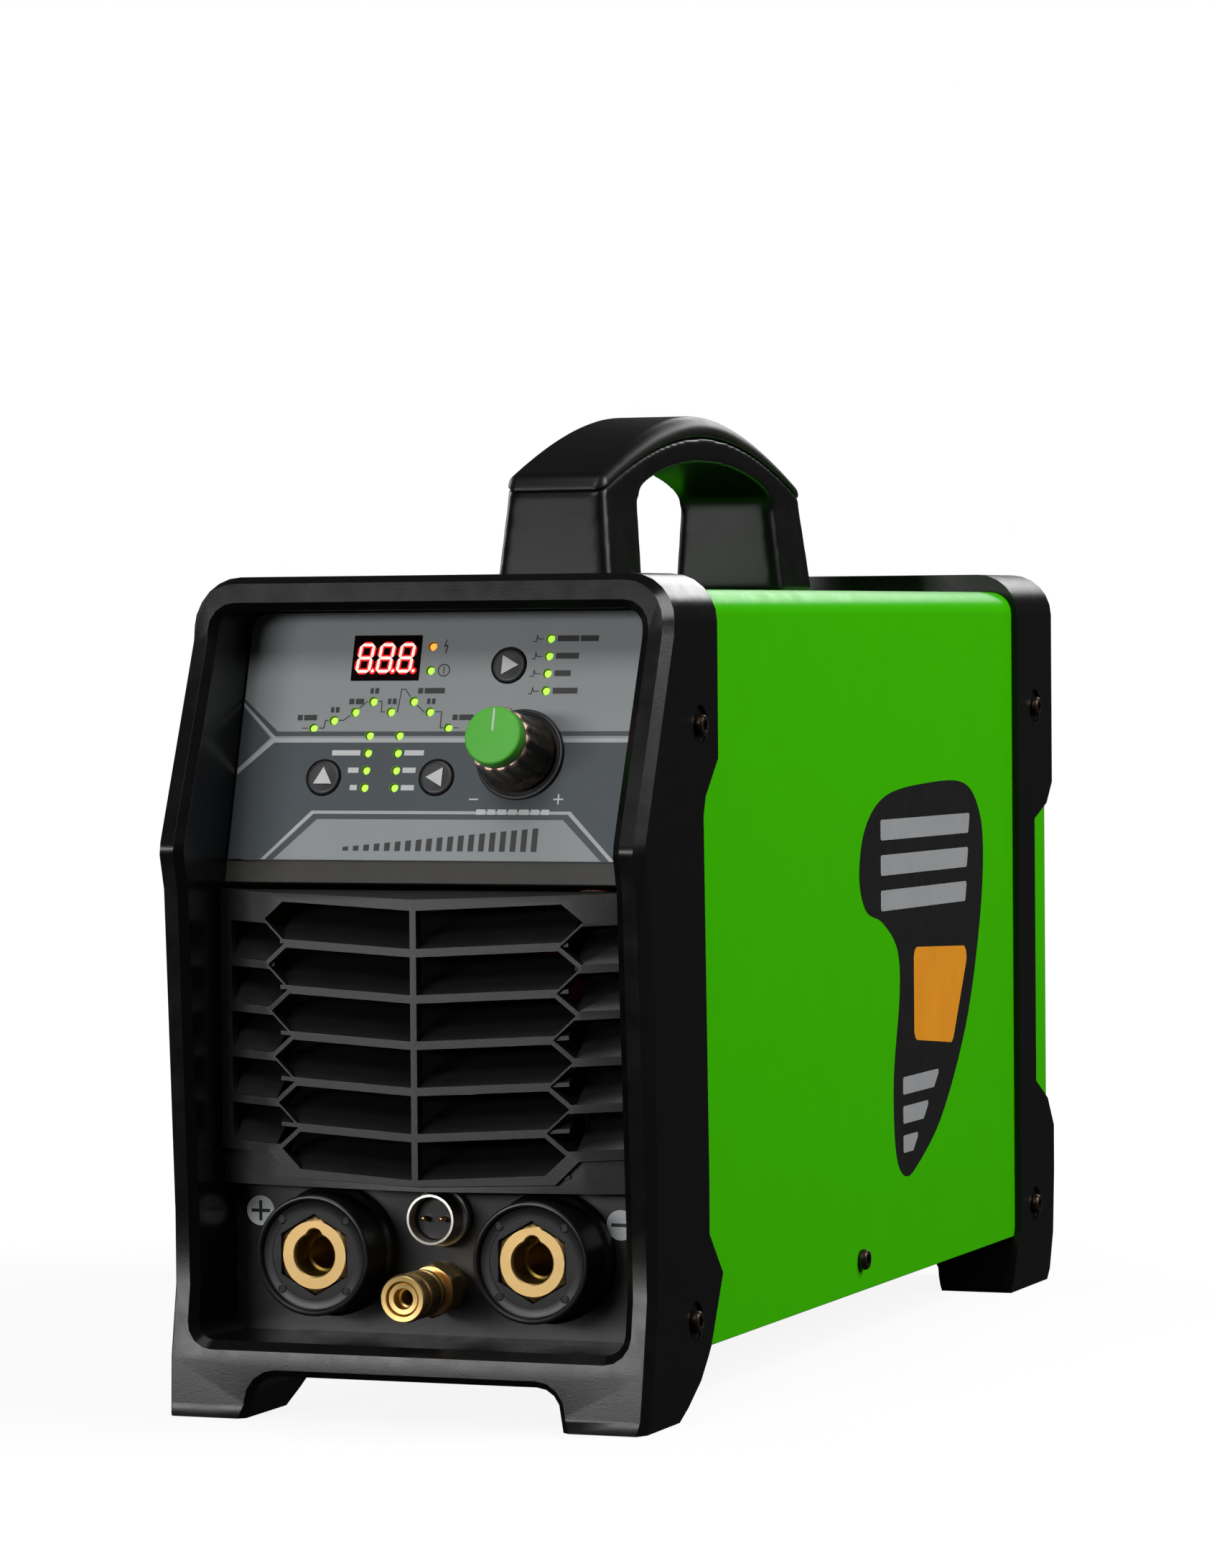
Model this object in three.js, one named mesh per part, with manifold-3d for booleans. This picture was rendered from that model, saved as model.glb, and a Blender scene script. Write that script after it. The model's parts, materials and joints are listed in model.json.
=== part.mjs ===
// A portable TIG welding inverter: sheet-metal cover between two moulded bezels, a sloping control
// panel, a V-shaped louvred grille, output sockets below it and a carrying handle on top.
// Millimetres, +Z up, front towards -Y. Depths are first measured from a datum in front of the
// machine, and the whole group is then moved so that its box is centred on the origin.
import * as THREE from "three";
import { mergeVertices } from "three/addons/utils/BufferGeometryUtils.js";
import Module from "manifold-3d";

const wasm = await Module();
wasm.setup();

// ---- driving dimensions ----
const GAP = 0.3; // between neighbouring pieces
const HALF_WIDTH = 80;
const TOP_Z = 259.5;
const TOP_CORNER_R = 15;
const REAR_TOP_Z = 260.9; // the rear bezel stands a little higher than the front one
const FRONT_BAND_INSET = 2.1; // flat front band, from the bezel's side face
const MOUTH_CHAMFER = 2.65; // across, inner edge of the front band
const MOUTH_CHAMFER_DEPTH = 2.3;
const MOUTH_HALF_WIDTH = 70.75; // opening of the front recess
const MOUTH_TOP_Z = 248.8;
const MOUTH_BOTTOM_Z = 23.3;
const MOUTH_CORNER_R = 6;
const ARCH_TOP_Z = 13; // underside between the feet
const ARCH_HALF_WIDTH = 51;
const ARCH_CORNER_R = 8;
const FLOOR_TOP_Z = 19.5; // inside floor of the bezels

const COVER_HALF_WIDTH = 77.75;
const COVER_TOP_Z = 254.5;
const COVER_BOTTOM_Z = 19.8;
const COVER_CORNER_R = 8;
const COVER_SHEET = 1.2;
const COVER_FRONT_Y = 53;
const COVER_REAR_Y = 445.6;
const CAVITY_HALF_WIDTH = COVER_HALF_WIDTH + GAP;
const CAVITY_TOP_Z = COVER_TOP_Z + GAP;
const SHEET_HALF_WIDTH = COVER_HALF_WIDTH - 0.45; // plates that stand inside the bezels

const PLATE_FRONT_Y = 50; // connector plate
const PLATE_SHEET = 1.5;
const PLATE_TOP_Z = 73;

const PANEL_Y = 45; // lower edge of the control overlay
const PANEL_Z = 171;
const PANEL_TILT = THREE.MathUtils.degToRad(16);
const OVERLAY_HALF_WIDTH = 70.3;
const OVERLAY_HEIGHT = 80.3; // along the slope
const OVERLAY_SHEET = 0.5;
const FASCIA_FRONT = OVERLAY_SHEET + GAP;
const FASCIA_BACK = FASCIA_FRONT + 2.5;
const FASCIA_BELOW = 6.8; // strip below the overlay

const BOARD_Z = 110; // power board, on pillars
const FLANGE_TOP_Z = 42; // side flanges of the base plate

const REAR_FRONT_Y = 405; // front edge of the rear bezel's side flange
const REAR_BACK_Y = 451;
const REAR_PANEL_Y = COVER_REAR_Y + GAP;
const REAR_PANEL_SHEET = 1.5;
const REAR_LIP_Y = REAR_PANEL_Y + REAR_PANEL_SHEET + GAP;
const REAR_MOUTH_HALF_WIDTH = 69;

const NOSE_Z = 174; // height where the front bezel reaches furthest forward
const NOSE_Y = 11.2;
const REAR_END_Y = 470; // end of the gas inlet
const MIDDLE_Y = (NOSE_Y + REAR_END_Y) / 2;

const SOCKET_X = 36.3;
const SOCKET_Z = 49.2;
const TORCH_Z = 60.6;
const GAS_Z = 38.6;
const GAS_FRONT_Y = 15.6;
const KNOB_X = 25;
const KNOB_V = 34;
const BUTTON_R = 5.5;
const BUTTONS = { button_up: [-40.5, 26.7], button_left: [-2.3, 26.8], button_right: [18.3, 62.8] };
const DISPLAY = { left: -34.6, right: -11.8, low: 58.2, high: 72.6 };
const LED_R = 1.4;

const FAN_Z = 150;
const FAN_SIZE = 92;
const FAN_R = 43;

// ---- materials ----
const paint = (hex, roughness, metalness) =>
  new THREE.MeshStandardMaterial({ color: hex, roughness, metalness });
const LOOKS = {
  bezel: () => paint(0x232425, 0.6, 0),
  grille: () => paint(0x2a2b2c, 0.65, 0),
  green: () => paint(0x34a000, 0.3, 0.1),
  overlay: () => paint(0x6b757c, 0.5, 0),
  steel: () => paint(0x8c9094, 0.4, 0.9),
  zinc: () => paint(0xb7babd, 0.45, 0.8),
  brass: () => paint(0xc9a24a, 0.3, 1),
  nickel: () => paint(0xc8c6c0, 0.25, 1),
  gloss: () => paint(0x151617, 0.35, 0),
  button: () => paint(0x3a4046, 0.5, 0),
  knob: () => paint(0x645a4e, 0.35, 0.6),
  cap: () => paint(0x55c83c, 0.4, 0),
  display: () => paint(0x2a0508, 0.2, 0),
  board: () => paint(0x1d6b3a, 0.5, 0),
  screw: () => paint(0x3b332b, 0.4, 0.9),
  alloy: () => paint(0xb5b8bc, 0.4, 0.9),
  core: () => paint(0x3c3c40, 0.7, 0.1),
  copper: () => paint(0xb5622d, 0.35, 0.9),
  nylon: () => paint(0x1e1f20, 0.5, 0),
};

// ---- solids ----
function solid(geometry) {
  const plain = geometry.clone();
  plain.deleteAttribute("normal");
  plain.deleteAttribute("uv");
  const merged = mergeVertices(plain, 1e-4);
  const corners = new Uint32Array(merged.index.array);
  const make = () =>
    new wasm.Manifold(
      new wasm.Mesh({
        numProp: 3,
        vertProperties: merged.attributes.position.array,
        triVerts: corners,
      }),
    );
  const made = make();
  if (made.volume() > 0) return made;
  for (let i = 0; i < corners.length; i += 3) {
    const first = corners[i];
    corners[i] = corners[i + 1];
    corners[i + 1] = first;
  }
  return make();
}

const join = (...geometries) => geometries.map(solid).reduce((a, b) => a.add(b));
const cut = (body, ...tools) => tools.reduce((a, tool) => a.subtract(solid(tool)), body);

function geometryOf(made) {
  const mesh = made.getMesh();
  const geometry = new THREE.BufferGeometry();
  geometry.setAttribute("position", new THREE.BufferAttribute(mesh.vertProperties, 3));
  geometry.setIndex(new THREE.BufferAttribute(mesh.triVerts, 1));
  geometry.computeVertexNormals();
  return geometry;
}

const box = (x0, x1, y0, y1, z0, z1) =>
  new THREE.BoxGeometry(x1 - x0, y1 - y0, z1 - z0).translate(
    (x0 + x1) / 2,
    (y0 + y1) / 2,
    (z0 + z1) / 2,
  );

// A round bar along Y.
const rodY = (r, y0, y1, x, z, sides = 32, rEnd = r) =>
  new THREE.CylinderGeometry(rEnd, r, y1 - y0, sides).translate(x, (y0 + y1) / 2, z);
// A round bar along X, from x0 to x1.
const rodX = (r, x0, x1, y, z, sides = 20) =>
  new THREE.CylinderGeometry(r, r, Math.abs(x1 - x0), sides)
    .rotateZ(Math.PI / 2)
    .translate((x0 + x1) / 2, y, z);
const rodZ = (r, z0, z1, x, y, sides = 32) =>
  new THREE.CylinderGeometry(r, r, z1 - z0, sides)
    .rotateX(Math.PI / 2)
    .translate(x, y, (z0 + z1) / 2);
// A hexagonal bar along Y with points up and down, by its width across corners.
const hexY = (acrossCorners, y0, y1, x, z) =>
  new THREE.CylinderGeometry(acrossCorners / 2, acrossCorners / 2, y1 - y0, 6).translate(
    x,
    (y0 + y1) / 2,
    z,
  );
// A turned piece about an axis along Y, its profile [radius, y] starting and ending on the axis.
const turned = (profile, x, z, sides = 40) =>
  new THREE.LatheGeometry(
    profile.map(([r, y]) => new THREE.Vector2(r, y)),
    sides,
  ).translate(x, 0, z);

const shapeOf = (points) => new THREE.Shape(points.map(([a, b]) => new THREE.Vector2(a, b)));
// A side outline of [y, z] points, swept along X.
function sweptX(outline, x0, x1, options = {}) {
  const shape = outline instanceof THREE.Shape ? outline : shapeOf(outline);
  const bevel = options.bevelThickness ?? 0;
  return new THREE.ExtrudeGeometry(shape, {
    depth: x1 - x0 - 2 * bevel,
    bevelEnabled: false,
    ...options,
  })
    .applyMatrix4(new THREE.Matrix4().set(0, 0, 1, 0, 1, 0, 0, 0, 0, 1, 0, 0, 0, 0, 0, 1))
    .translate(x0 + bevel, 0, 0);
}
// A front outline of [x, z] points, swept along Y.
function sweptY(outline, y0, y1, options = {}) {
  const shape = outline instanceof THREE.Shape ? outline : shapeOf(outline);
  return new THREE.ExtrudeGeometry(shape, { depth: y1 - y0, bevelEnabled: false, ...options })
    .rotateX(Math.PI / 2)
    .translate(0, y1, 0);
}

function roundedRect(x0, x1, z0, z1, r) {
  const shape = new THREE.Shape();
  shape.absarc(x1 - r, z1 - r, r, 0, Math.PI / 2);
  shape.absarc(x0 + r, z1 - r, r, Math.PI / 2, Math.PI);
  shape.absarc(x0 + r, z0 + r, r, Math.PI, 1.5 * Math.PI);
  shape.absarc(x1 - r, z0 + r, r, 1.5 * Math.PI, 2 * Math.PI);
  return shape;
}

function arcPoints(x, z, r, from, to, steps) {
  return Array.from({ length: steps + 1 }, (_, i) => {
    const a = THREE.MathUtils.degToRad(from + ((to - from) * i) / steps);
    return [x + r * Math.cos(a), z + r * Math.sin(a)];
  });
}

// Straight-line interpolation through [z, value] points.
function along(points, z) {
  if (z <= points[0][0]) return points[0][1];
  const i = points.findIndex(([at]) => at >= z);
  if (i < 0) return points.at(-1)[1];
  const [z0, a] = points[i - 1];
  const [z1, b] = points[i];
  return a + ((b - a) * (z - z0)) / (z1 - z0);
}

// Moves a closed outline inwards by an even distance, with mitred corners.
function insetOutline(outline, distance) {
  const count = outline.length;
  return outline.map(([x, z], i) => {
    const [px, pz] = outline[(i + count - 1) % count];
    const [nx, nz] = outline[(i + 1) % count];
    const before = new THREE.Vector2(x - px, z - pz).normalize();
    const after = new THREE.Vector2(nx - x, nz - z).normalize();
    const inward = new THREE.Vector2(-before.y - after.y, before.x + after.x);
    inward.multiplyScalar(-distance / (1 + before.dot(after)));
    return [x + inward.x, z + inward.y];
  });
}

// A closed skin over a stack of rings that hold the same number of points.
function skin(rings, caps) {
  const count = rings[0].length;
  const index = [];
  for (let r = 0; r + 1 < rings.length; r++)
    for (let i = 0; i < count; i++) {
      const a = r * count + i;
      const b = r * count + ((i + 1) % count);
      index.push(a, b, a + count, b, b + count, a + count);
    }
  const last = (rings.length - 1) * count;
  for (const [a, b, c] of caps) index.push(a, c, b, last + a, last + b, last + c);
  const geometry = new THREE.BufferGeometry().setFromPoints(rings.flat());
  geometry.setIndex(index);
  return geometry;
}

// A body with a left-right symmetric front outline, given for +X from top to bottom, whose layers
// stand at depths that may vary with height. Each layer has an inset and a depth function.
function facedBody(half, layers) {
  const outline = [...half, ...half.map(([x, z]) => [-x, z]).reverse()];
  const count = outline.length;
  const caps = [];
  for (let i = 0; i + 1 < half.length; i++) {
    const j = count - 1 - i;
    caps.push([i, i + 1, j], [i + 1, j - 1, j]);
  }
  const rings = layers.map(({ inset, at }) =>
    insetOutline(outline, inset).map(([x, z]) => new THREE.Vector3(x, at(z), z)),
  );
  return skin(rings, caps);
}

// ---- the machine ----
const machine = new THREE.Group();
machine.position.y = -MIDDLE_Y;
const panel = new THREE.Group(); // local x across, z up the slope, -y out of the panel
panel.position.set(0, PANEL_Y, PANEL_Z);
panel.rotation.x = -PANEL_TILT;
machine.add(panel);

function add(name, look, made, parent = machine) {
  const geometry = made.isBufferGeometry ? geometryOf(solid(made)) : geometryOf(made);
  const mesh = new THREE.Mesh(geometry, LOOKS[look]());
  mesh.name = name;
  parent.add(mesh);
}

const slopeY = (z, behind) =>
  PANEL_Y + Math.tan(PANEL_TILT) * (z - PANEL_Z) + behind / Math.cos(PANEL_TILT);

// Screws that hold the bezels and the cover: [y, z] on both sides.
const SCREW_R = 3.5;
const SCREWS = {
  front_upper: [66, 212.5],
  front_lower: [58, 29.6],
  rear_upper: [427, 212.5],
  rear_lower: [424, 29.8],
  cover: [226, 30.6],
};
const BEZEL_SCREWS = ["front_upper", "front_lower", "rear_upper", "rear_lower"];
const COUNTERBORE_R = 6.35;
const COUNTERBORE_DEPTH = 1.1;

const bothSides = (make) => [make(-1), make(1)];
const screwHoles = (names, r) =>
  names.flatMap((name) =>
    bothSides((side) => rodX(r, side * 70, side * 90, SCREWS[name][0], SCREWS[name][1], 8)),
  );
const counterbores = (names) =>
  names.flatMap((name) =>
    bothSides((side) =>
      rodX(
        COUNTERBORE_R,
        side * (HALF_WIDTH - COUNTERBORE_DEPTH),
        side * 90,
        SCREWS[name][0],
        SCREWS[name][1],
        14,
      ),
    ),
  );

// Front band of the bezel in side view, as [z, y].
const FRONT_EDGE = [
  [0, 13.5],
  [3, 15],
  [17.5, 16.6],
  [40, 20.6],
  [63, 20],
  [163, 14.2],
  [NOSE_Z, NOSE_Y],
  [178, 12],
  [240, 38],
  [TOP_Z, 40.5],
];
const frontAt = (z) => along(FRONT_EDGE, z);
// How far the long outer chamfer runs back along the side face, as [z, depth].
const CHAMFER_DEPTH = [[0, 4], [40, 4], [117, 7.2], [150, 7.6], [NOSE_Z, 5]];
const chamferEndAt = (z) => frontAt(z) + along(CHAMFER_DEPTH, z);
// The outlines run below the feet, and the side outline then cuts them level at z = 0.
const BELOW = -6;

function bezelHalfOutline(top) {
  return [
    ...arcPoints(HALF_WIDTH - TOP_CORNER_R, top - TOP_CORNER_R, TOP_CORNER_R, 90, 0, 6),
    ...[240, 178, NOSE_Z, 163, 150, 117, 63, 40, 17.5].map((z) => [HALF_WIDTH, z]),
    [HALF_WIDTH - 0.5, 4],
    [HALF_WIDTH - 1.2, 0],
    [HALF_WIDTH - 1.2, BELOW],
  ];
}

function archOutline() {
  const x = ARCH_HALF_WIDTH - ARCH_CORNER_R;
  return [
    ...arcPoints(x, ARCH_TOP_Z - ARCH_CORNER_R, ARCH_CORNER_R, 90, 0, 4),
    [ARCH_HALF_WIDTH + 1.5, 0],
    [ARCH_HALF_WIDTH + 3, BELOW - 2],
  ];
}

function cavity(y0, y1) {
  const shape = new THREE.Shape();
  const r = COVER_CORNER_R + GAP;
  shape.moveTo(CAVITY_HALF_WIDTH, FLOOR_TOP_Z);
  shape.lineTo(CAVITY_HALF_WIDTH, CAVITY_TOP_Z - r);
  shape.absarc(CAVITY_HALF_WIDTH - r, CAVITY_TOP_Z - r, r, 0, Math.PI / 2);
  shape.absarc(r - CAVITY_HALF_WIDTH, CAVITY_TOP_Z - r, r, Math.PI / 2, Math.PI);
  shape.lineTo(-CAVITY_HALF_WIDTH, FLOOR_TOP_Z);
  return sweptY(shape, y0, y1, { curveSegments: 4 });
}

function frontBezel() {
  const outer = solid(
    facedBody(bezelHalfOutline(TOP_Z), [
      { inset: FRONT_BAND_INSET, at: frontAt },
      { inset: 0, at: chamferEndAt },
      { inset: 0, at: () => 100 },
    ]),
  );
  const sideOutline = sweptX(
    [
      [0, 0], [46, 0], [63, 10.9], [71.7, 20.5], [83, 42], [70.8, 55.3],
      [71, 70.6], [68.3, 184.5], [70.4, 190.6], [82, 202], [82, 270], [0, 270],
    ],
    -90,
    90,
  );
  const mouthHalf = [
    ...arcPoints(
      MOUTH_HALF_WIDTH - MOUTH_CORNER_R, MOUTH_TOP_Z - MOUTH_CORNER_R, MOUTH_CORNER_R, 90, 0, 4,
    ),
    ...[240, 178, NOSE_Z, 163, 63, 40].map((z) => [MOUTH_HALF_WIDTH, z]),
    ...arcPoints(
      MOUTH_HALF_WIDTH - MOUTH_CORNER_R, MOUTH_BOTTOM_Z + MOUTH_CORNER_R, MOUTH_CORNER_R, 0, -90, 4,
    ),
  ];
  const mouth = facedBody(mouthHalf, [
    { inset: -2 * MOUTH_CHAMFER, at: (z) => frontAt(z) - MOUTH_CHAMFER_DEPTH },
    { inset: 0, at: (z) => frontAt(z) + MOUTH_CHAMFER_DEPTH },
    { inset: 0, at: () => 90 },
  ]);
  const arch = facedBody(archOutline(), [
    { inset: -2 * FRONT_BAND_INSET, at: (z) => frontAt(z) - FRONT_BAND_INSET },
    { inset: 0, at: (z) => frontAt(z) + FRONT_BAND_INSET },
    { inset: 0, at: () => 100 },
  ]);
  const stepZ = 162.5;
  const behindPanel = sweptX(
    [
      [PLATE_FRONT_Y - GAP, 0],
      [PLATE_FRONT_Y - GAP, stepZ],
      [slopeY(stepZ, OVERLAY_SHEET), stepZ],
      [slopeY(270, OVERLAY_SHEET), 270],
      [120, 270],
      [120, 0],
    ],
    -90,
    90,
  );
  const hollow = solid(cavity(30, 110)).intersect(solid(behindPanel));
  const body = outer.intersect(solid(sideOutline));
  return cut(
    cut(body, mouth, arch).subtract(hollow),
    ...screwHoles(["front_upper", "front_lower"], 2.3),
    ...counterbores(["front_upper", "front_lower"]),
  );
}

function rearBezel() {
  const rearEdge = [
    [0, 445], [4.9, 446.5], [13.5, 448.5], [27.7, 450.5], [45, REAR_BACK_Y], [TOP_Z, REAR_BACK_Y],
  ];
  const rearAt = (z) => along(rearEdge, z);
  const outer = solid(
    facedBody(bezelHalfOutline(REAR_TOP_Z), [
      { inset: 0, at: () => 390 },
      { inset: 0, at: (z) => rearAt(z) - 2.5 },
      { inset: 2.5, at: rearAt },
    ]),
  );
  const sideOutline = sweptX(
    [
      [396, 0], [396, 2], [400, 12], [REAR_FRONT_Y, 24], [REAR_FRONT_Y, 270], [460, 270],
      [460, 189], [REAR_BACK_Y, 187], [441.4, 176.7], [425.7, 171.4], [425.7, 75],
      [440.7, 67.5], [448.5, 56.8], [460, 47], [460, 0],
    ],
    -90,
    90,
  );
  const mouth = sweptY(
    roundedRect(-REAR_MOUTH_HALF_WIDTH, REAR_MOUTH_HALF_WIDTH, 26, 247, 6), 440, 470,
    { curveSegments: 4 },
  );
  const arch = facedBody(archOutline(), [
    { inset: 0, at: () => 380 },
    { inset: 0, at: (z) => rearAt(z) - 2.5 },
    { inset: -3.5, at: (z) => rearAt(z) + 1 },
  ]);
  return cut(
    outer.intersect(solid(sideOutline)),
    mouth,
    arch,
    cavity(380, REAR_LIP_Y),
    ...screwHoles(["rear_upper", "rear_lower"], 2.3),
    ...counterbores(["rear_upper", "rear_lower"]),
  );
}

function cover() {
  const arch = (half, top, r) => {
    const shape = new THREE.Shape();
    shape.moveTo(half, COVER_BOTTOM_Z - (half < COVER_HALF_WIDTH ? 5 : 0));
    shape.lineTo(half, top - r);
    shape.absarc(half - r, top - r, r, 0, Math.PI / 2);
    shape.absarc(r - half, top - r, r, Math.PI / 2, Math.PI);
    shape.lineTo(-half, COVER_BOTTOM_Z - (half < COVER_HALF_WIDTH ? 5 : 0));
    return shape;
  };
  const outside = arch(COVER_HALF_WIDTH, COVER_TOP_Z, COVER_CORNER_R);
  const inside = arch(
    COVER_HALF_WIDTH - COVER_SHEET, COVER_TOP_Z - COVER_SHEET, COVER_CORNER_R - COVER_SHEET,
  );
  const shell = cut(
    solid(sweptY(outside, COVER_FRONT_Y, COVER_REAR_Y, { curveSegments: 4 })),
    sweptY(inside, 0, 500, { curveSegments: 4 }),
  );
  const frontSlope = sweptX(
    [[0, 150], [slopeY(150, 4.5), 150], [slopeY(270, 4.5), 270], [0, 270]], -90, 90,
  );
  return cut(shell, frontSlope, ...screwHoles(Object.keys(SCREWS), 2.3));
}

function basePlate() {
  const half = COVER_HALF_WIDTH - COVER_SHEET - 0.35;
  const low = FLOOR_TOP_Z + GAP;
  const front = COVER_FRONT_Y;
  const rear = COVER_REAR_Y - 0.6;
  const pillars = bothSides((side) =>
    [130, 380].map((y) => rodZ(4, low + 1, BOARD_Z - 0.4, side * 60, y, 12)),
  ).flat();
  const flanges = bothSides((side) => {
    const [x0, x1] = [side * half, side * (half - COVER_SHEET)].sort((a, b) => a - b);
    return box(x0, x1, front, rear, low, FLANGE_TOP_Z);
  });
  const tray = join(box(-half, half, front, rear, low, low + 1.5), ...flanges, ...pillars);
  return cut(tray, ...screwHoles(["front_lower", "rear_lower", "cover"], 2.3));
}

// ---- front grille ----
const GRILLE_ROWS = 6;
const GRILLE_PITCH = 14.2;
const GRILLE_TOP_ROW_Z = 152.9;
const GRILLE_TOP_Z = 161.4;
const GRILLE_BOTTOM_Z = 70.2;
const GRILLE_WALL = 2.5;
const GRILLE_PLAN = [[0, 26.5], [53, 34], [67, 38], [70.4, 39]]; // [x, y] of the front face
const ROW_HALF_HEIGHT = 5.8;
const ROW_TIP_X = 53; // outer tip of the top row, each lower row being a little shorter
const ROW_TIP_STEP = 1.15;
const SIDE_END_X = 66;
const MULLION_HALF = 1.05;
const TIP_SLANT = 6.6;
const ROW_RISE = 0.048; // each half of every row climbs outwards
const LEVEL_X = 46; // where the rows keep their nominal height
const grilleFront = (x) => along(GRILLE_PLAN, Math.abs(x));

function grillePlate(front, back, z0, z1) {
  const right = GRILLE_PLAN.map(([x]) => x);
  const xs = [...right.slice(1).reverse().map((x) => -x), ...right];
  const shape = shapeOf([
    ...xs.map((x) => [x, grilleFront(x) + front]),
    ...xs.toReversed().map((x) => [x, typeof back === "number" ? back : back(x)]),
  ]);
  return new THREE.ExtrudeGeometry(shape, { depth: z1 - z0, bevelEnabled: false })
    .translate(0, 0, z0);
}

function grilleOpenings() {
  const tools = [];
  for (const side of [-1, 1]) {
    for (let row = 0; row < GRILLE_ROWS; row++) {
      const z = GRILLE_TOP_ROW_Z - row * GRILLE_PITCH;
      const tip = ROW_TIP_X - ROW_TIP_STEP * row;
      const high = z + ROW_HALF_HEIGHT;
      const low = z - ROW_HALF_HEIGHT;
      tools.push([[MULLION_HALF, high], [MULLION_HALF, low], [tip - TIP_SLANT, low], [tip, z],
        [tip - TIP_SLANT, high]].map(([x, at]) => [side * x, at]));
      if (row === GRILLE_ROWS - 1) continue;
      const inner = tip - TIP_SLANT - 0.5;
      const [top, middle, bottom] = [high, z, low].map((at) => at - GRILLE_PITCH / 2);
      tools.push([[inner, middle], [inner + TIP_SLANT, bottom], [SIDE_END_X, bottom],
        [SIDE_END_X, top], [inner + TIP_SLANT, top]].map(([x, at]) => [side * x, at]));
    }
  }
  return tools.map((outline) => sweptY(outline, 20, 46));
}

// Gives the rows their slant, which dies away along the straight lower edge and is less at the top.
function slantRows(vertex) {
  const [x, , z] = vertex;
  const low = THREE.MathUtils.clamp((z - 71) / 4, 0, 1);
  const high = THREE.MathUtils.clamp((GRILLE_TOP_Z - z) / 3, 0, 1);
  const share = low * (0.6 + 0.4 * high);
  vertex[2] += ROW_RISE * (Math.abs(x) - LEVEL_X) * share;
}

// One slanting blade behind a row of openings, rising towards the back.
const BLADE_RISE = 10.3;
const BLADE_THICK = 1.3;
const BLADE_END_Y = PLATE_FRONT_Y - 0.6;
function louvre(side, x0, x1, lowZ) {
  const start = Math.max(grilleFront(x0), grilleFront(x1)) + 1.2;
  const corner = (x, y, z) => new THREE.Vector3(side * x, y, z);
  const section = (x) => {
    const y = grilleFront(x) + 1.2;
    const reach = (BLADE_END_Y - y) / (BLADE_END_Y - start);
    const low = lowZ - (reach - 1) * 0.5;
    return [
      corner(x, y, low),
      corner(x, y, low - BLADE_THICK),
      corner(x, BLADE_END_Y, lowZ + BLADE_RISE - BLADE_THICK),
      corner(x, BLADE_END_Y, lowZ + BLADE_RISE),
    ];
  };
  return solid(skin([section(x0), section(x1)], [[0, 1, 2], [0, 2, 3]]));
}

// The lower corners of the face step back to an apron that runs along the bottom.
const APRON_STEP = 1.8;
const APRON_CORNER = [[43, 72.3], [51.3, 80], [72, 80], [72, 69], [43, 69]]; // [x, z]

function frontGrille() {
  const corners = bothSides((side) =>
    sweptY(APRON_CORNER.map(([x, z]) => [side * x, z]), 20, 60),
  );
  const face = cut(
    solid(grillePlate(0, (x) => grilleFront(x) + GRILLE_WALL + 1.5, 73, GRILLE_TOP_Z)),
    ...corners,
  );
  const apron = cut(
    solid(
      grillePlate(APRON_STEP, (x) => grilleFront(x) + GRILLE_WALL + 1.5, GRILLE_BOTTOM_Z, 83.4),
    ),
    box(-44, 44, 20, 60, 75.4, 90),
  );
  const pierced = cut(face.add(apron), ...grilleOpenings());
  const backY = PLATE_FRONT_Y - 0.4;
  const frame = join(
    grillePlate(0.2, backY, GRILLE_TOP_Z - 1.6, GRILLE_TOP_Z),
    grillePlate(APRON_STEP, backY, GRILLE_BOTTOM_Z, 75.4),
    box(67.6, 70.4, 41.4, backY, GRILLE_BOTTOM_Z, GRILLE_TOP_Z),
    box(-70.4, -67.6, 41.4, backY, GRILLE_BOTTOM_Z, GRILLE_TOP_Z),
  );
  let body = pierced.add(frame);
  for (const side of [-1, 1])
    for (let row = 0; row < GRILLE_ROWS; row++) {
      const low = GRILLE_TOP_ROW_Z - row * GRILLE_PITCH - 6;
      body = body.add(louvre(side, 0, 48, low));
      if (row < GRILLE_ROWS - 1) body = body.add(louvre(side, 50, 69, low - GRILLE_PITCH / 2));
    }
  return body.warp(slantRows);
}

// ---- control panel, in its own tilted frame ----
const WAVE_LEDS = [
  [-45.8, 42.7], [-39.1, 45.2], [-32.1, 47.9], [-26.3, 51.3], [-20, 47.9], [-12.6, 51.3],
  [-6.8, 47.9], [-0.1, 42.7],
];
const PAIR_LEDS = [0, 1, 2, 3].flatMap((row) => [-26.4, -16.3].map((x) => [x, 40.3 - 5.6 * row]));
const MODE_LEDS = [0, 1, 2, 3].map((row) => [31.3, 71.4 - 5.6 * row]);
const STATE_LEDS = [[-8, 69.1], [-8, 61.3]];
const LEDS = [...WAVE_LEDS, ...PAIR_LEDS, ...MODE_LEDS, ...STATE_LEDS];

function panelHoles(extra) {
  const { left, right, low, high } = DISPLAY;
  return [
    ...Object.values(BUTTONS).map(([x, v]) => rodY(BUTTON_R + 0.4 + extra, -5, 30, x, v, 18)),
    rodY(4.2 + extra, -5, 30, KNOB_X, KNOB_V, 16),
    box(left - 0.3, right + 0.3, -5, 30, low - 0.3, high + 0.3),
  ];
}

function overlay() {
  const sheet = sweptY(
    roundedRect(-OVERLAY_HALF_WIDTH, OVERLAY_HALF_WIDTH, 0.2, OVERLAY_HEIGHT, 5.4),
    0, OVERLAY_SHEET, { curveSegments: 4 },
  );
  return cut(solid(sheet), ...panelHoles(0));
}

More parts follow.
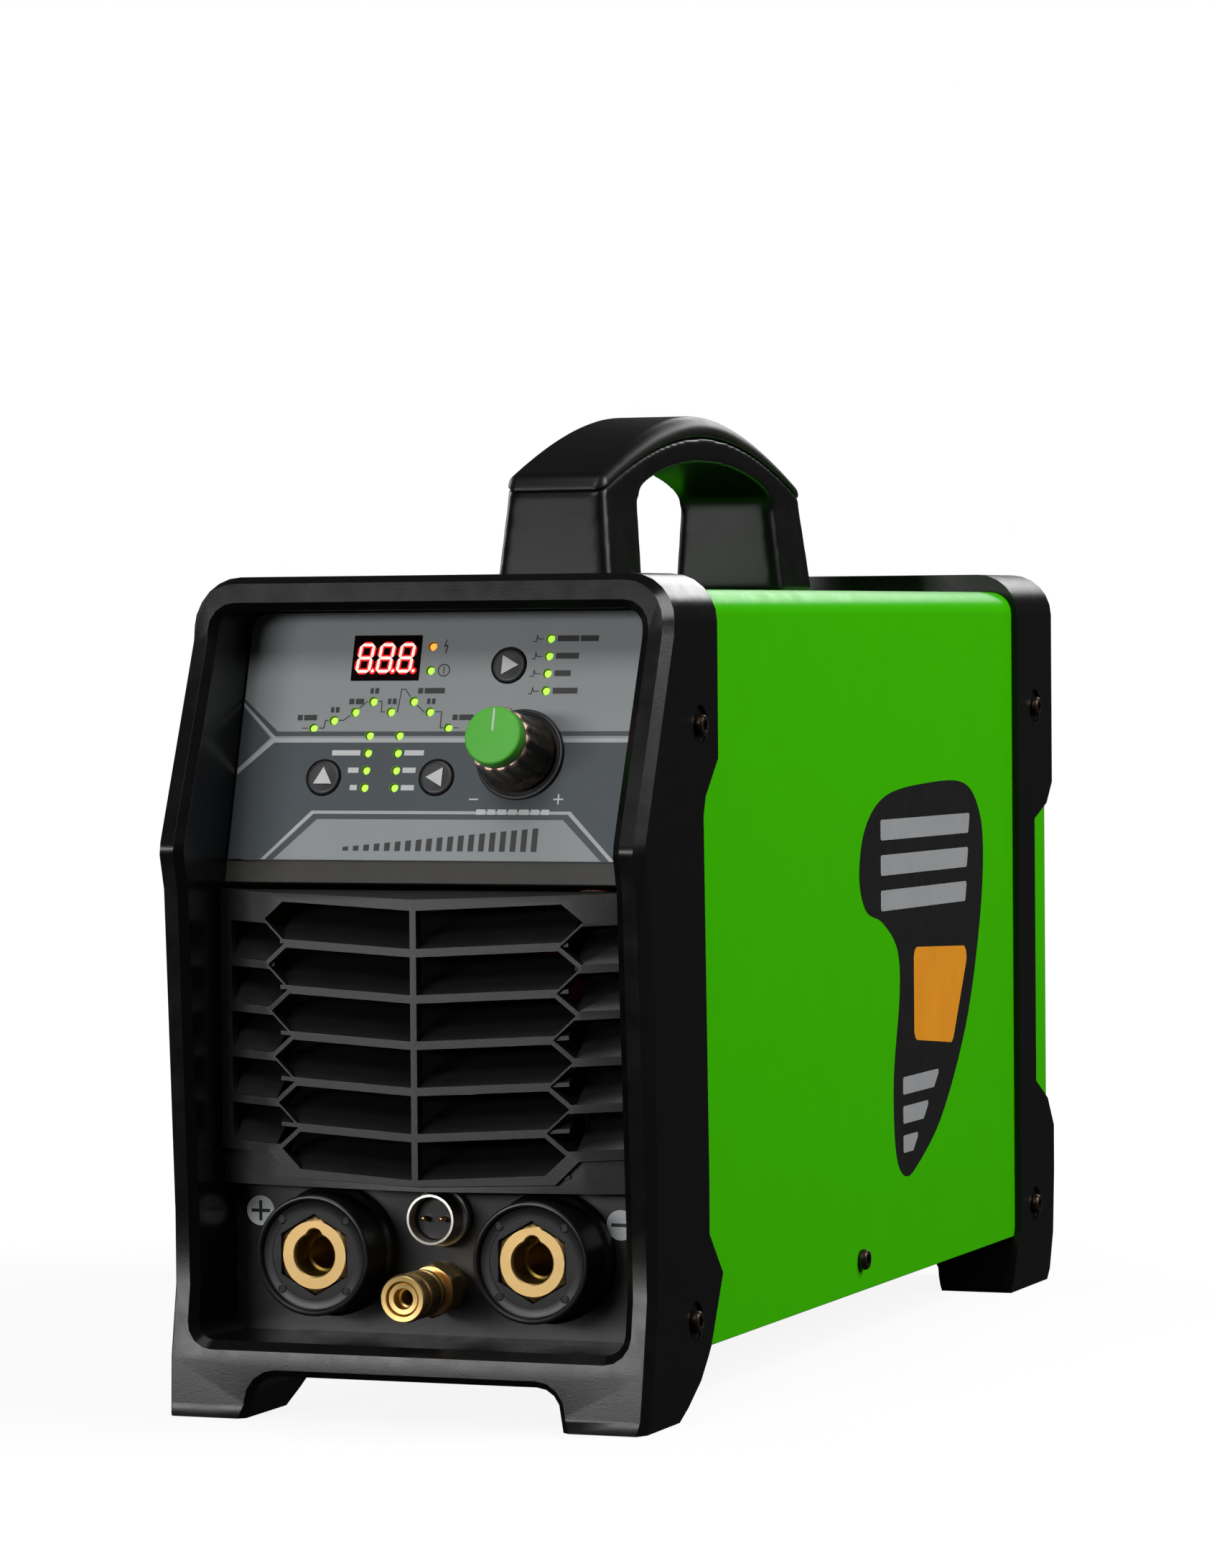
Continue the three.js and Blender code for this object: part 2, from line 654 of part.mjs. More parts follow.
function fascia() {
  const top = (COVER_TOP_Z - 0.8 - PANEL_Z) / Math.cos(PANEL_TILT) - 2.5;
  const plate = sweptY(
    roundedRect(-SHEET_HALF_WIDTH, SHEET_HALF_WIDTH, -FASCIA_BELOW, top, 7),
    FASCIA_FRONT, FASCIA_BACK, { curveSegments: 4 },
  );
  const lights = LEDS.map(([x, v]) => rodY(LED_R + 0.35, -5, 30, x, v, 6));
  return cut(solid(plate), ...panelHoles(0.1), ...lights);
}

const BOARD_FRONT = 10;
function controlBoard() {
  const pegs = LEDS.map(([x, v]) => rodY(LED_R, FASCIA_FRONT, BOARD_FRONT + 0.5, x, v, 6));
  const switches = Object.values(BUTTONS).map(([x, v]) =>
    box(x - 3, x + 3, BOARD_FRONT - 1.7, BOARD_FRONT + 0.3, v - 3, v + 3),
  );
  return join(
    box(-62, 55, BOARD_FRONT, BOARD_FRONT + 1.6, 8, 76),
    ...pegs,
    ...switches,
  );
}

function button([x, v]) {
  return turned(
    [
      [0, -1], [BUTTON_R - 0.8, -1], [BUTTON_R, -0.4], [BUTTON_R, 3.7], [BUTTON_R + 1.1, 3.7],
      [BUTTON_R + 1.1, 4.6], [1.5, 4.6], [1.5, 7.4], [0, 7.4],
    ],
    x, v, 14,
  );
}

function addPanel() {
  add("control_overlay", "overlay", overlay(), panel);
  add("control_fascia", "bezel", fascia(), panel);
  add("control_board", "board", controlBoard(), panel);
  const { left, right, low, high } = DISPLAY;
  add("display_module", "display", box(left, right, -0.1, BOARD_FRONT - GAP, low, high), panel);
  for (const [name, place] of Object.entries(BUTTONS)) add(name, "button", button(place), panel);
  const ring = cut(
    solid(rodY(14.5, -1.2, -GAP, KNOB_X, KNOB_V, 32)), rodY(4.2, -5, 5, KNOB_X, KNOB_V, 16),
  );
  add("dial_plate", "nylon", ring, panel);
  const encoder = cut(
    solid(box(KNOB_X - 6, KNOB_X + 6, FASCIA_BACK + GAP, BOARD_FRONT - GAP, KNOB_V - 6.5,
      KNOB_V + 6.5)),
    rodY(3.3, 0, 9, KNOB_X, KNOB_V, 14),
  );
  add("encoder_body", "zinc", encoder, panel);
  add("encoder_shaft", "steel", rodY(3, -18.2, 8.4, KNOB_X, KNOB_V, 14), panel);
  const flutes = Array.from({ length: 12 }, (_, i) => {
    const a = (i * Math.PI) / 6;
    return new THREE.CylinderGeometry(1.2, 1.2, 14.5, 6)
      .translate(KNOB_X + 12 * Math.cos(a), -12.2, KNOB_V + 12 * Math.sin(a));
  });
  const skirt = turned(
    [[0, -1.6], [12.2, -1.6], [12.2, -3.4], [11.3, -5], [9.9, -18], [9.9, -19.6], [0, -19.6]],
    KNOB_X, KNOB_V, 32,
  );
  add("knob_skirt", "knob",
    cut(solid(skirt), ...flutes, rodY(3.3, -18.5, 0, KNOB_X, KNOB_V, 14)), panel);
  const cap = turned(
    [[0, -19.9], [9.2, -19.9], [9.3, -23.3], [8.6, -24.2], [0, -24.6]], KNOB_X, KNOB_V, 24,
  );
  add("knob_cap", "cap", cap, panel);
}

// ---- output connections ----
function connectorPlate() {
  const plate = box(-SHEET_HALF_WIDTH, SHEET_HALF_WIDTH, PLATE_FRONT_Y,
    PLATE_FRONT_Y + PLATE_SHEET, FLOOR_TOP_Z + GAP, PLATE_TOP_Z);
  return cut(
    solid(plate),
    rodY(8.6, 40, 60, -SOCKET_X, SOCKET_Z, 20),
    rodY(8.6, 40, 60, SOCKET_X, SOCKET_Z, 20),
    rodY(7.6, 40, 60, 0, TORCH_Z, 20),
    rodY(5.4, 40, 60, 0, GAS_Z, 16),
  );
}

function outputSocket(x, side) {
  const housing = turned(
    [[0, 49.7], [20.5, 49.7], [20.5, 45.6], [18.9, 44.4], [18.9, 31], [18, 29.9], [0, 29.9]],
    x, SOCKET_Z, 28,
  );
  const pocket = hexY(25.1, 20, 46, x, SOCKET_Z);
  add("socket_housing_" + side, "nylon",
    cut(solid(housing), pocket, rodY(8.6, 20, 60, x, SOCKET_Z, 20)));
  const contact = join(
    hexY(24.5, 32, 45.7, x, SOCKET_Z),
    rodY(8.2, 45, 66, x, SOCKET_Z, 20),
  );
  add("socket_contact_" + side, "brass", cut(
    contact,
    rodY(6.6, 20, 56, x, SOCKET_Z, 24),
    box(x - 1.9, x + 1.9, 20, 38, SOCKET_Z, SOCKET_Z + 8.7),
  ));
}

function torchSocket() {
  const shell = turned(
    [
      [0, 49.7], [9.3, 49.7], [9.3, 46.8], [8, 46.4], [8, 38.3], [6.9, 38.3], [6.9, 48.2],
      [0, 48.2],
    ],
    0, TORCH_Z, 18,
  );
  const stem = rodY(7.3, 49, 60, 0, TORCH_Z, 20);
  add("torch_socket_shell", "nickel", cut(join(shell, stem), rodY(4.5, 48, 70, 0, TORCH_Z, 16)));
  const insert = join(
    rodY(6.6, 43.2, 47.9, 0, TORCH_Z, 20),
    rodY(4.2, 47, 58, 0, TORCH_Z, 14),
    rodY(0.9, 39.6, 44, -3, TORCH_Z, 8),
    rodY(0.9, 39.6, 44, 3, TORCH_Z, 8),
  );
  add("torch_socket_insert", "gloss", insert);
}

function gasOutlet() {
  const body = turned(
    [
      [0, 72], [3.2, 72], [4.2, 70], [4.2, 60], [5.1, 59], [5.1, 49.7], [7.6, 49.7],
      [7.6, 46.2], [5, 46.2], [5, 21], [4.4, 20], [2.6, 20], [2.6, 60], [0, 60],
    ],
    0, GAS_Z, 16,
  );
  add("gas_outlet_body", "brass", join(body, hexNut(17.3, 38, 46.4, 0, GAS_Z, 4.4)));
  const sleeve = turned(
    [
      [5.4, GAS_FRONT_Y + 0.6], [6.9, GAS_FRONT_Y], [7.5, GAS_FRONT_Y + 0.8], [7.5, 19.4],
      [6.8, 20], [6.8, 22], [7.3, 22.6], [7.3, 32.6], [6.8, 33.4], [5.4, 33.4],
      [5.4, GAS_FRONT_Y + 0.6],
    ],
    0, GAS_Z, 18,
  );
  add("gas_outlet_sleeve", "brass", sleeve);
}

function hexNut(acrossCorners, y0, y1, x, z, bore) {
  return geometryOf(
    cut(solid(hexY(acrossCorners, y0, y1, x, z)), rodY(bore, y0 - 5, y1 + 5, x, z, 20)),
  );
}

// ---- handle ----
// Two legs and the arch between them are one moulding; a separate bowed shell closes its top.
const HANDLE = { half: 17.4, start: 149, end: 346.7, legTopZ: 286, seamZ: 287.3, cornerR: 4 };
const ARCH = { start: 182.4, end: 313.8, z: 287, rise: 11.5 };
const SEAM_RISE = 19.8;
const GRIP_END_Z = 292;
const GRIP_RISE = 22.5;
const GRIP_EDGE_R = 5;

const bow = (y, start, end) => {
  const t = THREE.MathUtils.clamp((y - start) / (end - start), 0, 1);
  return Math.sin(Math.PI * t);
};
const seamAt = (y) => HANDLE.seamZ + SEAM_RISE * bow(y, HANDLE.start, HANDLE.end) ** 0.9;
const archAt = (y) => ARCH.z + ARCH.rise * bow(y, ARCH.start, ARCH.end) ** 0.6;
const spread = (from, to, steps) =>
  Array.from({ length: steps + 1 }, (_, i) => from + ((to - from) * i) / steps);
// The same, closer together towards both ends.
const eased = (from, to, steps) =>
  spread(0, Math.PI, steps).map((a) => from + ((to - from) * (1 - Math.cos(a))) / 2);

// A leg through plan rectangles, each [half width, front, rear, z] from the bottom up.
function handleLeg(sections) {
  const rings = sections.map(([half, front, rear, z]) =>
    roundedRect(-half, half, front, rear, HANDLE.cornerR)
      .getPoints(4)
      .slice(0, -1)
      .map((p) => new THREE.Vector3(p.x, p.y, z)),
  );
  const caps = rings[0].slice(2).map((_, i) => [0, i + 1, i + 2]);
  return skin(rings, caps);
}

function handleFrame() {
  const foot = COVER_TOP_Z + GAP;
  const { half, start, end, legTopZ, cornerR } = HANDLE;
  const legs = join(
    handleLeg([[20.4, 145.5, 179.2, foot], [19.8, 146.2, 179.7, 261],
      [half, start, ARCH.start, legTopZ]]),
    handleLeg([[20.4, 315.6, 352.2, foot], [19.8, 315.2, 351.1, 261],
      [half, ARCH.end, end, legTopZ]]),
  );
  const low = legTopZ - 0.5;
  const beam = sweptX(
    [
      [start, low],
      [ARCH.start, low],
      ...eased(ARCH.start, ARCH.end, 20).map((y) => [y, archAt(y)]),
      [ARCH.end, low],
      [end, low],
      ...spread(end, start, 18).map((y) => [y, seamAt(y)]),
    ],
    -half,
    half,
  );
  const plan = new THREE.ExtrudeGeometry(roundedRect(-half, half, start, end, cornerR), {
    depth: 60,
    bevelEnabled: false,
    curveSegments: 4,
  }).translate(0, 0, 270);
  return legs.add(solid(beam).intersect(solid(plan)));
}

// How far a rounded end has fallen away at a distance from the tip.
const endFall = (distance) => {
  const short = Math.max(HANDLE.cornerR - distance, 0);
  return HANDLE.cornerR - Math.sqrt(HANDLE.cornerR ** 2 - short ** 2);
};

function handleGrip() {
  const { half, start, end } = HANDLE;
  const tip = [0, 0.5, 1.6];
  const places = [
    ...tip.map((d) => start + d),
    ...spread(start + 4, end - 4, 14),
    ...tip.toReversed().map((d) => end - d),
  ];
  const rings = places.map((y) => {
    const fall = endFall(Math.min(y - start, end - y));
    const low = seamAt(y) + GAP;
    const high = GRIP_END_Z + GRIP_RISE * bow(y, start, end) - fall;
    const r = Math.min(GRIP_EDGE_R, (high - low) * 0.85);
    const x = half - fall;
    const section = [
      [-x, low],
      [x, low],
      ...arcPoints(x - r, high - r, r, 0, 90, 4),
      ...arcPoints(r - x, high - r, r, 90, 180, 4),
    ];
    return section.map(([across, z]) => new THREE.Vector3(across, y, z));
  });
  const caps = rings[0].slice(2).map((_, i) => [0, i + 1, i + 2]);
  return skin(rings, caps);
}

// ---- rear fittings ----
const SWITCH = { x: 38, z: 222, halfWidth: 13.5, halfHeight: 10 };
const ROCKER_PIVOT_Y = -1;
const ROCKER_TILT = THREE.MathUtils.degToRad(9);
const GLAND = { x: -38, z: 222 };
const NIPPLE = { x: -44, z: 62 };
const EARTH = { x: 46, z: 52 };
const GUARD_HOLES = [-1, 1].flatMap((a) => [-1, 1].map((b) => [a * 41.3, FAN_Z + b * 41.3]));

function rearPanel() {
  const plate = sweptY(
    roundedRect(-SHEET_HALF_WIDTH, SHEET_HALF_WIDTH, FLOOR_TOP_Z + GAP, COVER_TOP_Z - 0.5, 7),
    REAR_PANEL_Y, REAR_PANEL_Y + REAR_PANEL_SHEET, { curveSegments: 4 },
  );
  const { x, z, halfWidth, halfHeight } = SWITCH;
  const slots = [-2, -1, 0, 1, 2].flatMap((row) =>
    [78, 88].map((at) => box(row * 16 - 5, row * 16 + 5, 430, 470, at, at + 3)),
  );
  return cut(
    solid(plate),
    rodY(FAN_R, 430, 470, 0, FAN_Z, 24),
    box(x - halfWidth - 0.3, x + halfWidth + 0.3, 430, 470, z - halfHeight - 0.3,
      z + halfHeight + 0.3),
    rodY(8.2, 430, 470, GLAND.x, GLAND.z, 18),
    rodY(5.2, 430, 470, NIPPLE.x, NIPPLE.z, 14),
    rodY(3.3, 430, 470, EARTH.x, EARTH.z, 12),
    ...GUARD_HOLES.map(([gx, gz]) => rodY(2.2, 430, 470, gx, gz, 8)),
    ...slots,
  );
}

function fan() {
  const y1 = REAR_PANEL_Y - GAP;
  const y0 = y1 - 25;
  const half = FAN_SIZE / 2;
  const frame = cut(
    solid(sweptY(roundedRect(-half, half, FAN_Z - half, FAN_Z + half, 5), y0, y1,
      { curveSegments: 3 })),
    rodY(FAN_R, 400, 460, 0, FAN_Z, 24),
  );
  const struts = [0, 1, 2, 3].map((i) =>
    box(-half + 1, -14, y0, y0 + 3, -2, 2).applyMatrix4(
      new THREE.Matrix4().makeRotationY((i * Math.PI) / 2),
    ).translate(0, 0, FAN_Z),
  );
  add("fan_frame", "gloss", frame.add(join(rodY(16, y0, y0 + 3, 0, FAN_Z, 20), ...struts)));
  const hub = solid(turned([[0, y0 + 3.6], [17, y0 + 3.6], [17, y1 - 3], [15.5, y1 - 1.5],
    [0, y1 - 1.5]], 0, FAN_Z, 20));
  const blades = Array.from({ length: 7 }, (_, i) =>
    new THREE.BoxGeometry(25, 1.6, 21)
      .rotateX(Math.PI / 4)
      .translate(28.5, (y0 + y1) / 2, 0)
      .applyMatrix4(new THREE.Matrix4().makeRotationY((i * 2 * Math.PI) / 7))
      .translate(0, 0, FAN_Z),
  );
  add("fan_rotor", "nylon", blades.reduce((a, blade) => a.add(solid(blade)), hub));
}

function fanGuard() {
  const y = REAR_LIP_Y + 1.2;
  const rings = [16, 30].map((r) =>
    new THREE.TorusGeometry(r, 0.9, 4, 16).rotateX(Math.PI / 2).translate(0, y, FAN_Z),
  );
  const bars = [0, 1].map((i) =>
    new THREE.CylinderGeometry(0.9, 0.9, 116.8, 6)
      .rotateZ(Math.PI / 2)
      .applyMatrix4(new THREE.Matrix4().makeRotationY(Math.PI / 4 + (i * Math.PI) / 2))
      .translate(0, y, FAN_Z),
  );
  const lugs = GUARD_HOLES.map(([x, z]) => rodY(3.6, y - 0.9, y + 1.1, x, z, 10));
  const pins = GUARD_HOLES.map(([x, z]) => rodY(1.9, REAR_PANEL_Y - 0.1, y, x, z, 8));
  add("fan_guard", "steel", join(...rings, ...bars, ...lugs, ...pins));
}

function mainsSwitch() {
  const { x, z, halfWidth, halfHeight } = SWITCH;
  const bezelY = REAR_LIP_Y;
  const body = join(
    box(x - halfWidth, x + halfWidth, 428, bezelY + 0.5, z - halfHeight, z + halfHeight),
    box(x - halfWidth - 1.6, x + halfWidth + 1.6, bezelY, bezelY + 2, z - halfHeight - 1.6,
      z + halfHeight + 1.6),
  );
  add("mains_switch_body", "gloss",
    cut(body, box(x - 11.2, x + 11.2, 437, 470, z - 7.6, z + 7.6)));
  const rocker = shapeOf([[-10.2, 4.7], [0, 2.6], [10.2, 4.7], [10.4, 0], [6, -4.5], [-6, -4.5],
    [-10.4, 0]]);
  const made = new THREE.ExtrudeGeometry(rocker, { depth: 14.4, bevelEnabled: false })
    .translate(0, -ROCKER_PIVOT_Y, -7.2)
    .rotateZ(ROCKER_TILT)
    .translate(x, bezelY - 1.5 + ROCKER_PIVOT_Y, z);
  add("mains_switch_rocker", "gloss", made);
}

function rearFittings() {
  const y = REAR_LIP_Y;
  const gland = join(
    hexY(25, y, y + 6, GLAND.x, GLAND.z),
    turned([[0, y + 5], [11, y + 5], [11, y + 13], [9, y + 18], [6.5, y + 19.5], [0, y + 19.5]],
      GLAND.x, GLAND.z, 20),
    rodY(7.8, 436, y + 5, GLAND.x, GLAND.z, 18),
  );
  add("cable_gland", "nylon", cut(gland, rodY(4.2, 430, 480, GLAND.x, GLAND.z, 16)));
  const barbs = [0, 1, 2].flatMap((i) => [[3.4, y + 8 + i * 4.4], [4.3, y + 8.4 + i * 4.4]]);
  const nipple = turned(
    [[0, 436], [4.9, 436], [4.9, y], [7, y], [7, y + 6], [3.4, y + 6.4], ...barbs,
      [3.1, REAR_END_Y], [0, REAR_END_Y]],
    NIPPLE.x, NIPPLE.z, 12,
  );
  add("gas_inlet_nipple", "brass", cut(solid(nipple), rodY(1.9, 430, 480, NIPPLE.x, NIPPLE.z, 8)));
  const valve = join(
    box(NIPPLE.x - 14, NIPPLE.x + 14, 402, 430, NIPPLE.z - 11, NIPPLE.z + 11),
    rodY(7, 396, 435.6, NIPPLE.x, NIPPLE.z, 16),
    rodZ(11, NIPPLE.z, NIPPLE.z + 34, NIPPLE.x, 416, 16),
  );
  add("gas_valve", "zinc", valve);
  const earth = join(rodY(3, 434, y + 10, EARTH.x, EARTH.z, 12),
    hexY(11.5, y, y + 5, EARTH.x, EARTH.z));
  add("earth_stud", "zinc", earth);
}

// ---- inside ----
const SINK = { width: 40, front: 110, rear: 236, low: 28, base: 88, top: 94, fins: 9, fin: 2 };
function heatSink(x0) {
  const { width, front, rear, low, base, top, fins, fin } = SINK;
  const pitch = (width - fin) / (fins - 1);
  const blades = spread(x0, x0 + pitch * (fins - 1), fins - 1).map((x) =>
    box(x, x + fin, front, rear, low, base + 1),
  );
  const stand = box(x0, x0 + width, front, front + 6, low - 6, low + 2);
  return join(box(x0, x0 + width, front, rear, base, top), stand, ...blades);
}

const CORE = { half: 32, front: 262, rear: 322, low: 22, high: 74, limb: 9, yoke: 10 };
function transformer() {
  const { half, front, rear, low, high, limb, yoke } = CORE;
  const window = half - 12;
  const windows = [[-window, -limb], [limb, window]].map(([x0, x1]) =>
    box(x0, x1, front - 10, rear + 10, low + yoke, high - yoke),
  );
  add("transformer_core", "core", cut(solid(box(-half, half, front, rear, low, high)), ...windows));
  const outer = window - 0.4;
  const block = box(-outer, outer, front - 9, rear + 9, low + yoke + 0.4, high - yoke - 0.4);
  const inner = limb + 0.4;
  const centreLimb = box(-inner, inner, front - 0.4, rear + 0.4, low, high);
  add("transformer_winding", "copper", cut(solid(block), centreLimb));
}

function internals() {
  add("heat_sink_left", "alloy", heatSink(-54));
  add("heat_sink_right", "alloy", heatSink(14));
  add("power_board", "board", box(-68, 68, 100, 396, BOARD_Z, BOARD_Z + 1.6));
  for (const [i, y] of [150, 196].entries())
    add("capacitor_" + (i + 1), "gloss", rodZ(17, BOARD_Z + 2, BOARD_Z + 52, -40, y, 20));
  transformer();
  const choke = new THREE.TorusGeometry(24, 12, 8, 20).translate(0, 372, 34.4);
  add("output_choke", "copper", choke);
  const coil = cut(solid(rodY(20, 66, 96, 44, 142, 20)), rodY(9, 60, 99, 44, 142, 16));
  add("hf_coil", "copper", coil);
}

function screws() {
  for (const [place, [y, z]] of Object.entries(SCREWS))
    for (const [side, label] of [[-1, "left"], [1, "right"]]) {
      const onBezel = BEZEL_SCREWS.includes(place);
      const seat = (onBezel ? HALF_WIDTH - COUNTERBORE_DEPTH : COVER_HALF_WIDTH) + GAP;
      const head = new THREE.CylinderGeometry(SCREW_R - 0.4, SCREW_R, 2.6, 10)
        .rotateZ((-side * Math.PI) / 2).translate(side * (seat + 1.3), y, z);
      const socket = rodX(1.7, side * (seat + 1.3), side * (seat + 4), y, z, 6);
      const shank = rodX(1.9, side * 71, side * (seat + 1), y, z, 6);
      add("screw_" + place + "_" + label, "screw", cut(join(head, shank), socket));
    }
}

add("front_bezel", "bezel", frontBezel());
add("front_grille", "grille", frontGrille());
addPanel();
add("connector_plate", "bezel", connectorPlate());
outputSocket(-SOCKET_X, "positive");
outputSocket(SOCKET_X, "negative");
torchSocket();
gasOutlet();
add("cover", "green", cover());
add("base_plate", "zinc", basePlate());
add("rear_bezel", "bezel", rearBezel());
add("rear_panel", "steel", rearPanel());
add("handle_frame", "gloss", handleFrame());
add("handle_grip", "gloss", handleGrip());
fan();
fanGuard();
mainsSwitch();
rearFittings();
internals();
screws();

export default machine;
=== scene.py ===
"""The looks of a portable TIG welding inverter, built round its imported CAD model.

Lengths in the builders below are millimetres; MM turns them into metres.
"""
import json
import math

import bmesh
import bpy
from mathutils import Matrix, Vector

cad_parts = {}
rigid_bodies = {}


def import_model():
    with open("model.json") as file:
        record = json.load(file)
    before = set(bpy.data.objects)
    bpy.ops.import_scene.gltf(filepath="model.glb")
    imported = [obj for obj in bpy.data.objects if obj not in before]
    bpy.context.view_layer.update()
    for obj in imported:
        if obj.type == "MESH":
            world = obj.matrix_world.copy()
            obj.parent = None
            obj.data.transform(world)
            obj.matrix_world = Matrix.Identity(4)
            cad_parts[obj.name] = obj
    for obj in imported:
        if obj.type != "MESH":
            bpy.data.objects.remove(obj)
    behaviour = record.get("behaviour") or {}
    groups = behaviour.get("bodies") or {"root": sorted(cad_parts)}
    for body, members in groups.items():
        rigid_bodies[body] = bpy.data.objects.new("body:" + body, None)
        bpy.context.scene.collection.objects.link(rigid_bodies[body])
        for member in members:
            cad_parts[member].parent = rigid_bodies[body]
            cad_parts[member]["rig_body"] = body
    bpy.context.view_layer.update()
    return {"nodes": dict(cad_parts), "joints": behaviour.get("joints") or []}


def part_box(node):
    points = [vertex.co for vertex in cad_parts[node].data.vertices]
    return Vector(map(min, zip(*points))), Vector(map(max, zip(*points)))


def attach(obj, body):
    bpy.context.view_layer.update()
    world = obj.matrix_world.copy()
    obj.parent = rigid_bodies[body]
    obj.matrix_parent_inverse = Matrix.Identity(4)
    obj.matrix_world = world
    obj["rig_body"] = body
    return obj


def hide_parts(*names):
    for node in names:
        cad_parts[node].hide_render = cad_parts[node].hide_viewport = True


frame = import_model()
NODES = frame["nodes"]
JOINTS = {joint["name"]: joint for joint in frame["joints"]}
MM = 0.001
TAU = 2 * math.pi

# ---- places, read from the frame ----
PLATE_Y = 50.0  # the connector plate's front face, in the depths that this script uses
DATUM_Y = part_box("connector_plate")[0].y / MM - PLATE_Y


def point(x, y, z):
    """A place in the row frame from millimetres, with y counted from the datum before the machine."""
    return Vector((x, y + DATUM_Y, z)) * MM


def placed(origin, across, up):
    """A matrix whose local x, y and z run across, up and out."""
    out = across.cross(up)
    m = Matrix.Identity(4)
    for column, axis in enumerate((across, up, out)):
        m.col[column] = (*axis, 0.0)
    m.col[3] = (*origin, 1.0)
    return m


X, Y, Z = Vector((1, 0, 0)), Vector((0, 1, 0)), Vector((0, 0, 1))


def middle_of(node):
    low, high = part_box(node)
    return (low + high) / 2 / MM


def facing_front(x, z, y=PLATE_Y):
    return placed(point(x, y, z), X, Z)


def facing_back(x, z, y):
    return placed(point(x, y, z), -X, Z)


def facing_side(side, y, z, x):
    return placed(point(side * x, y, z), Y * side, Z)


KNOB_AT = (25.0, 34.0)  # on the control panel: across, and up the slope from its lower edge
KNOB_OUT = -Vector(JOINTS["knob_turn"]["axis"]).normalized()
PANEL_UP = KNOB_OUT.cross(X)
PANEL_ORIGIN = Vector(JOINTS["knob_turn"]["pos_m"]) - (X * KNOB_AT[0] + PANEL_UP * KNOB_AT[1]) * MM


def on_panel(x=0.0, v=0.0, h=0.0):
    return placed(PANEL_ORIGIN + (X * x + PANEL_UP * v + KNOB_OUT * h) * MM, X, PANEL_UP)


# ---- materials ----
def linear(r, g, b):
    """A colour given as on screen, 0 to 255, turned into scene values."""
    def one(c):
        c /= 255
        return c / 12.92 if c <= 0.04045 else ((c + 0.055) / 1.055) ** 2.4
    return one(r), one(g), one(b)


def finish_of(name, colour, roughness, metal=0.0, grain=900, bump=0.1, depth=0.05, mottle=0.12,
              patch=60, specular=0.5, spread=0.08, stretch=(1, 1, 1)):
    """A procedural finish: colour that drifts in patches, uneven gloss and a fine moulded or cast grain."""
    made = bpy.data.materials.new(name)
    made.use_nodes = True
    nodes, links = made.node_tree.nodes, made.node_tree.links
    shader = nodes["Principled BSDF"]
    shader.inputs["Metallic"].default_value = metal
    shader.inputs["Specular IOR Level"].default_value = specular
    place = nodes.new("ShaderNodeTexCoord")
    scaled = nodes.new("ShaderNodeMapping")
    scaled.inputs["Scale"].default_value = stretch
    links.new(place.outputs["Object"], scaled.inputs["Vector"])

    def noise(scale, detail):
        made_noise = nodes.new("ShaderNodeTexNoise")
        made_noise.inputs["Scale"].default_value = scale
        made_noise.inputs["Detail"].default_value = detail
        links.new(scaled.outputs["Vector"], made_noise.inputs["Vector"])
        return made_noise

    wide = noise(patch, 4)
    tint = nodes.new("ShaderNodeMix")
    tint.data_type = "RGBA"
    tint.inputs["A"].default_value = (*[c * (1 - mottle) for c in colour], 1)
    tint.inputs["B"].default_value = (*[min(c * (1 + mottle), 1) for c in colour], 1)
    links.new(wide.outputs["Fac"], tint.inputs["Factor"])
    links.new(tint.outputs["Result"], shader.inputs["Base Color"])
    gloss = nodes.new("ShaderNodeMapRange")
    gloss.inputs["To Min"].default_value = max(roughness - spread, 0.02)
    gloss.inputs["To Max"].default_value = min(roughness + spread, 1)
    links.new(noise(patch * 2.3, 5).outputs["Fac"], gloss.inputs["Value"])
    links.new(gloss.outputs["Result"], shader.inputs["Roughness"])
    if bump:
        relief = nodes.new("ShaderNodeBump")
        relief.inputs["Strength"].default_value = bump
        relief.inputs["Distance"].default_value = depth * MM
        links.new(noise(grain, 2).outputs["Fac"], relief.inputs["Height"])
        links.new(relief.outputs["Normal"], shader.inputs["Normal"])
    return made


def lit(name, colour, strength, edge):
    """A lamp lens: a glow that drifts between two colours over the lens."""
    made = finish_of(name, colour, 0.25, bump=0)
    shader = made.node_tree.nodes["Principled BSDF"]
    shader.inputs["Emission Strength"].default_value = strength
    nodes, links = made.node_tree.nodes, made.node_tree.links
    drift = nodes.new("ShaderNodeTexNoise")
    drift.inputs["Scale"].default_value = 500
    links.new(nodes["Texture Coordinate"].outputs["Object"], drift.inputs["Vector"])
    glow = nodes.new("ShaderNodeMix")
    glow.data_type = "RGBA"
    glow.inputs["A"].default_value = (*colour, 1)
    glow.inputs["B"].default_value = (*edge, 1)
    links.new(drift.outputs["Fac"], glow.inputs["Factor"])
    links.new(glow.outputs["Result"], shader.inputs["Emission Color"])
    return made


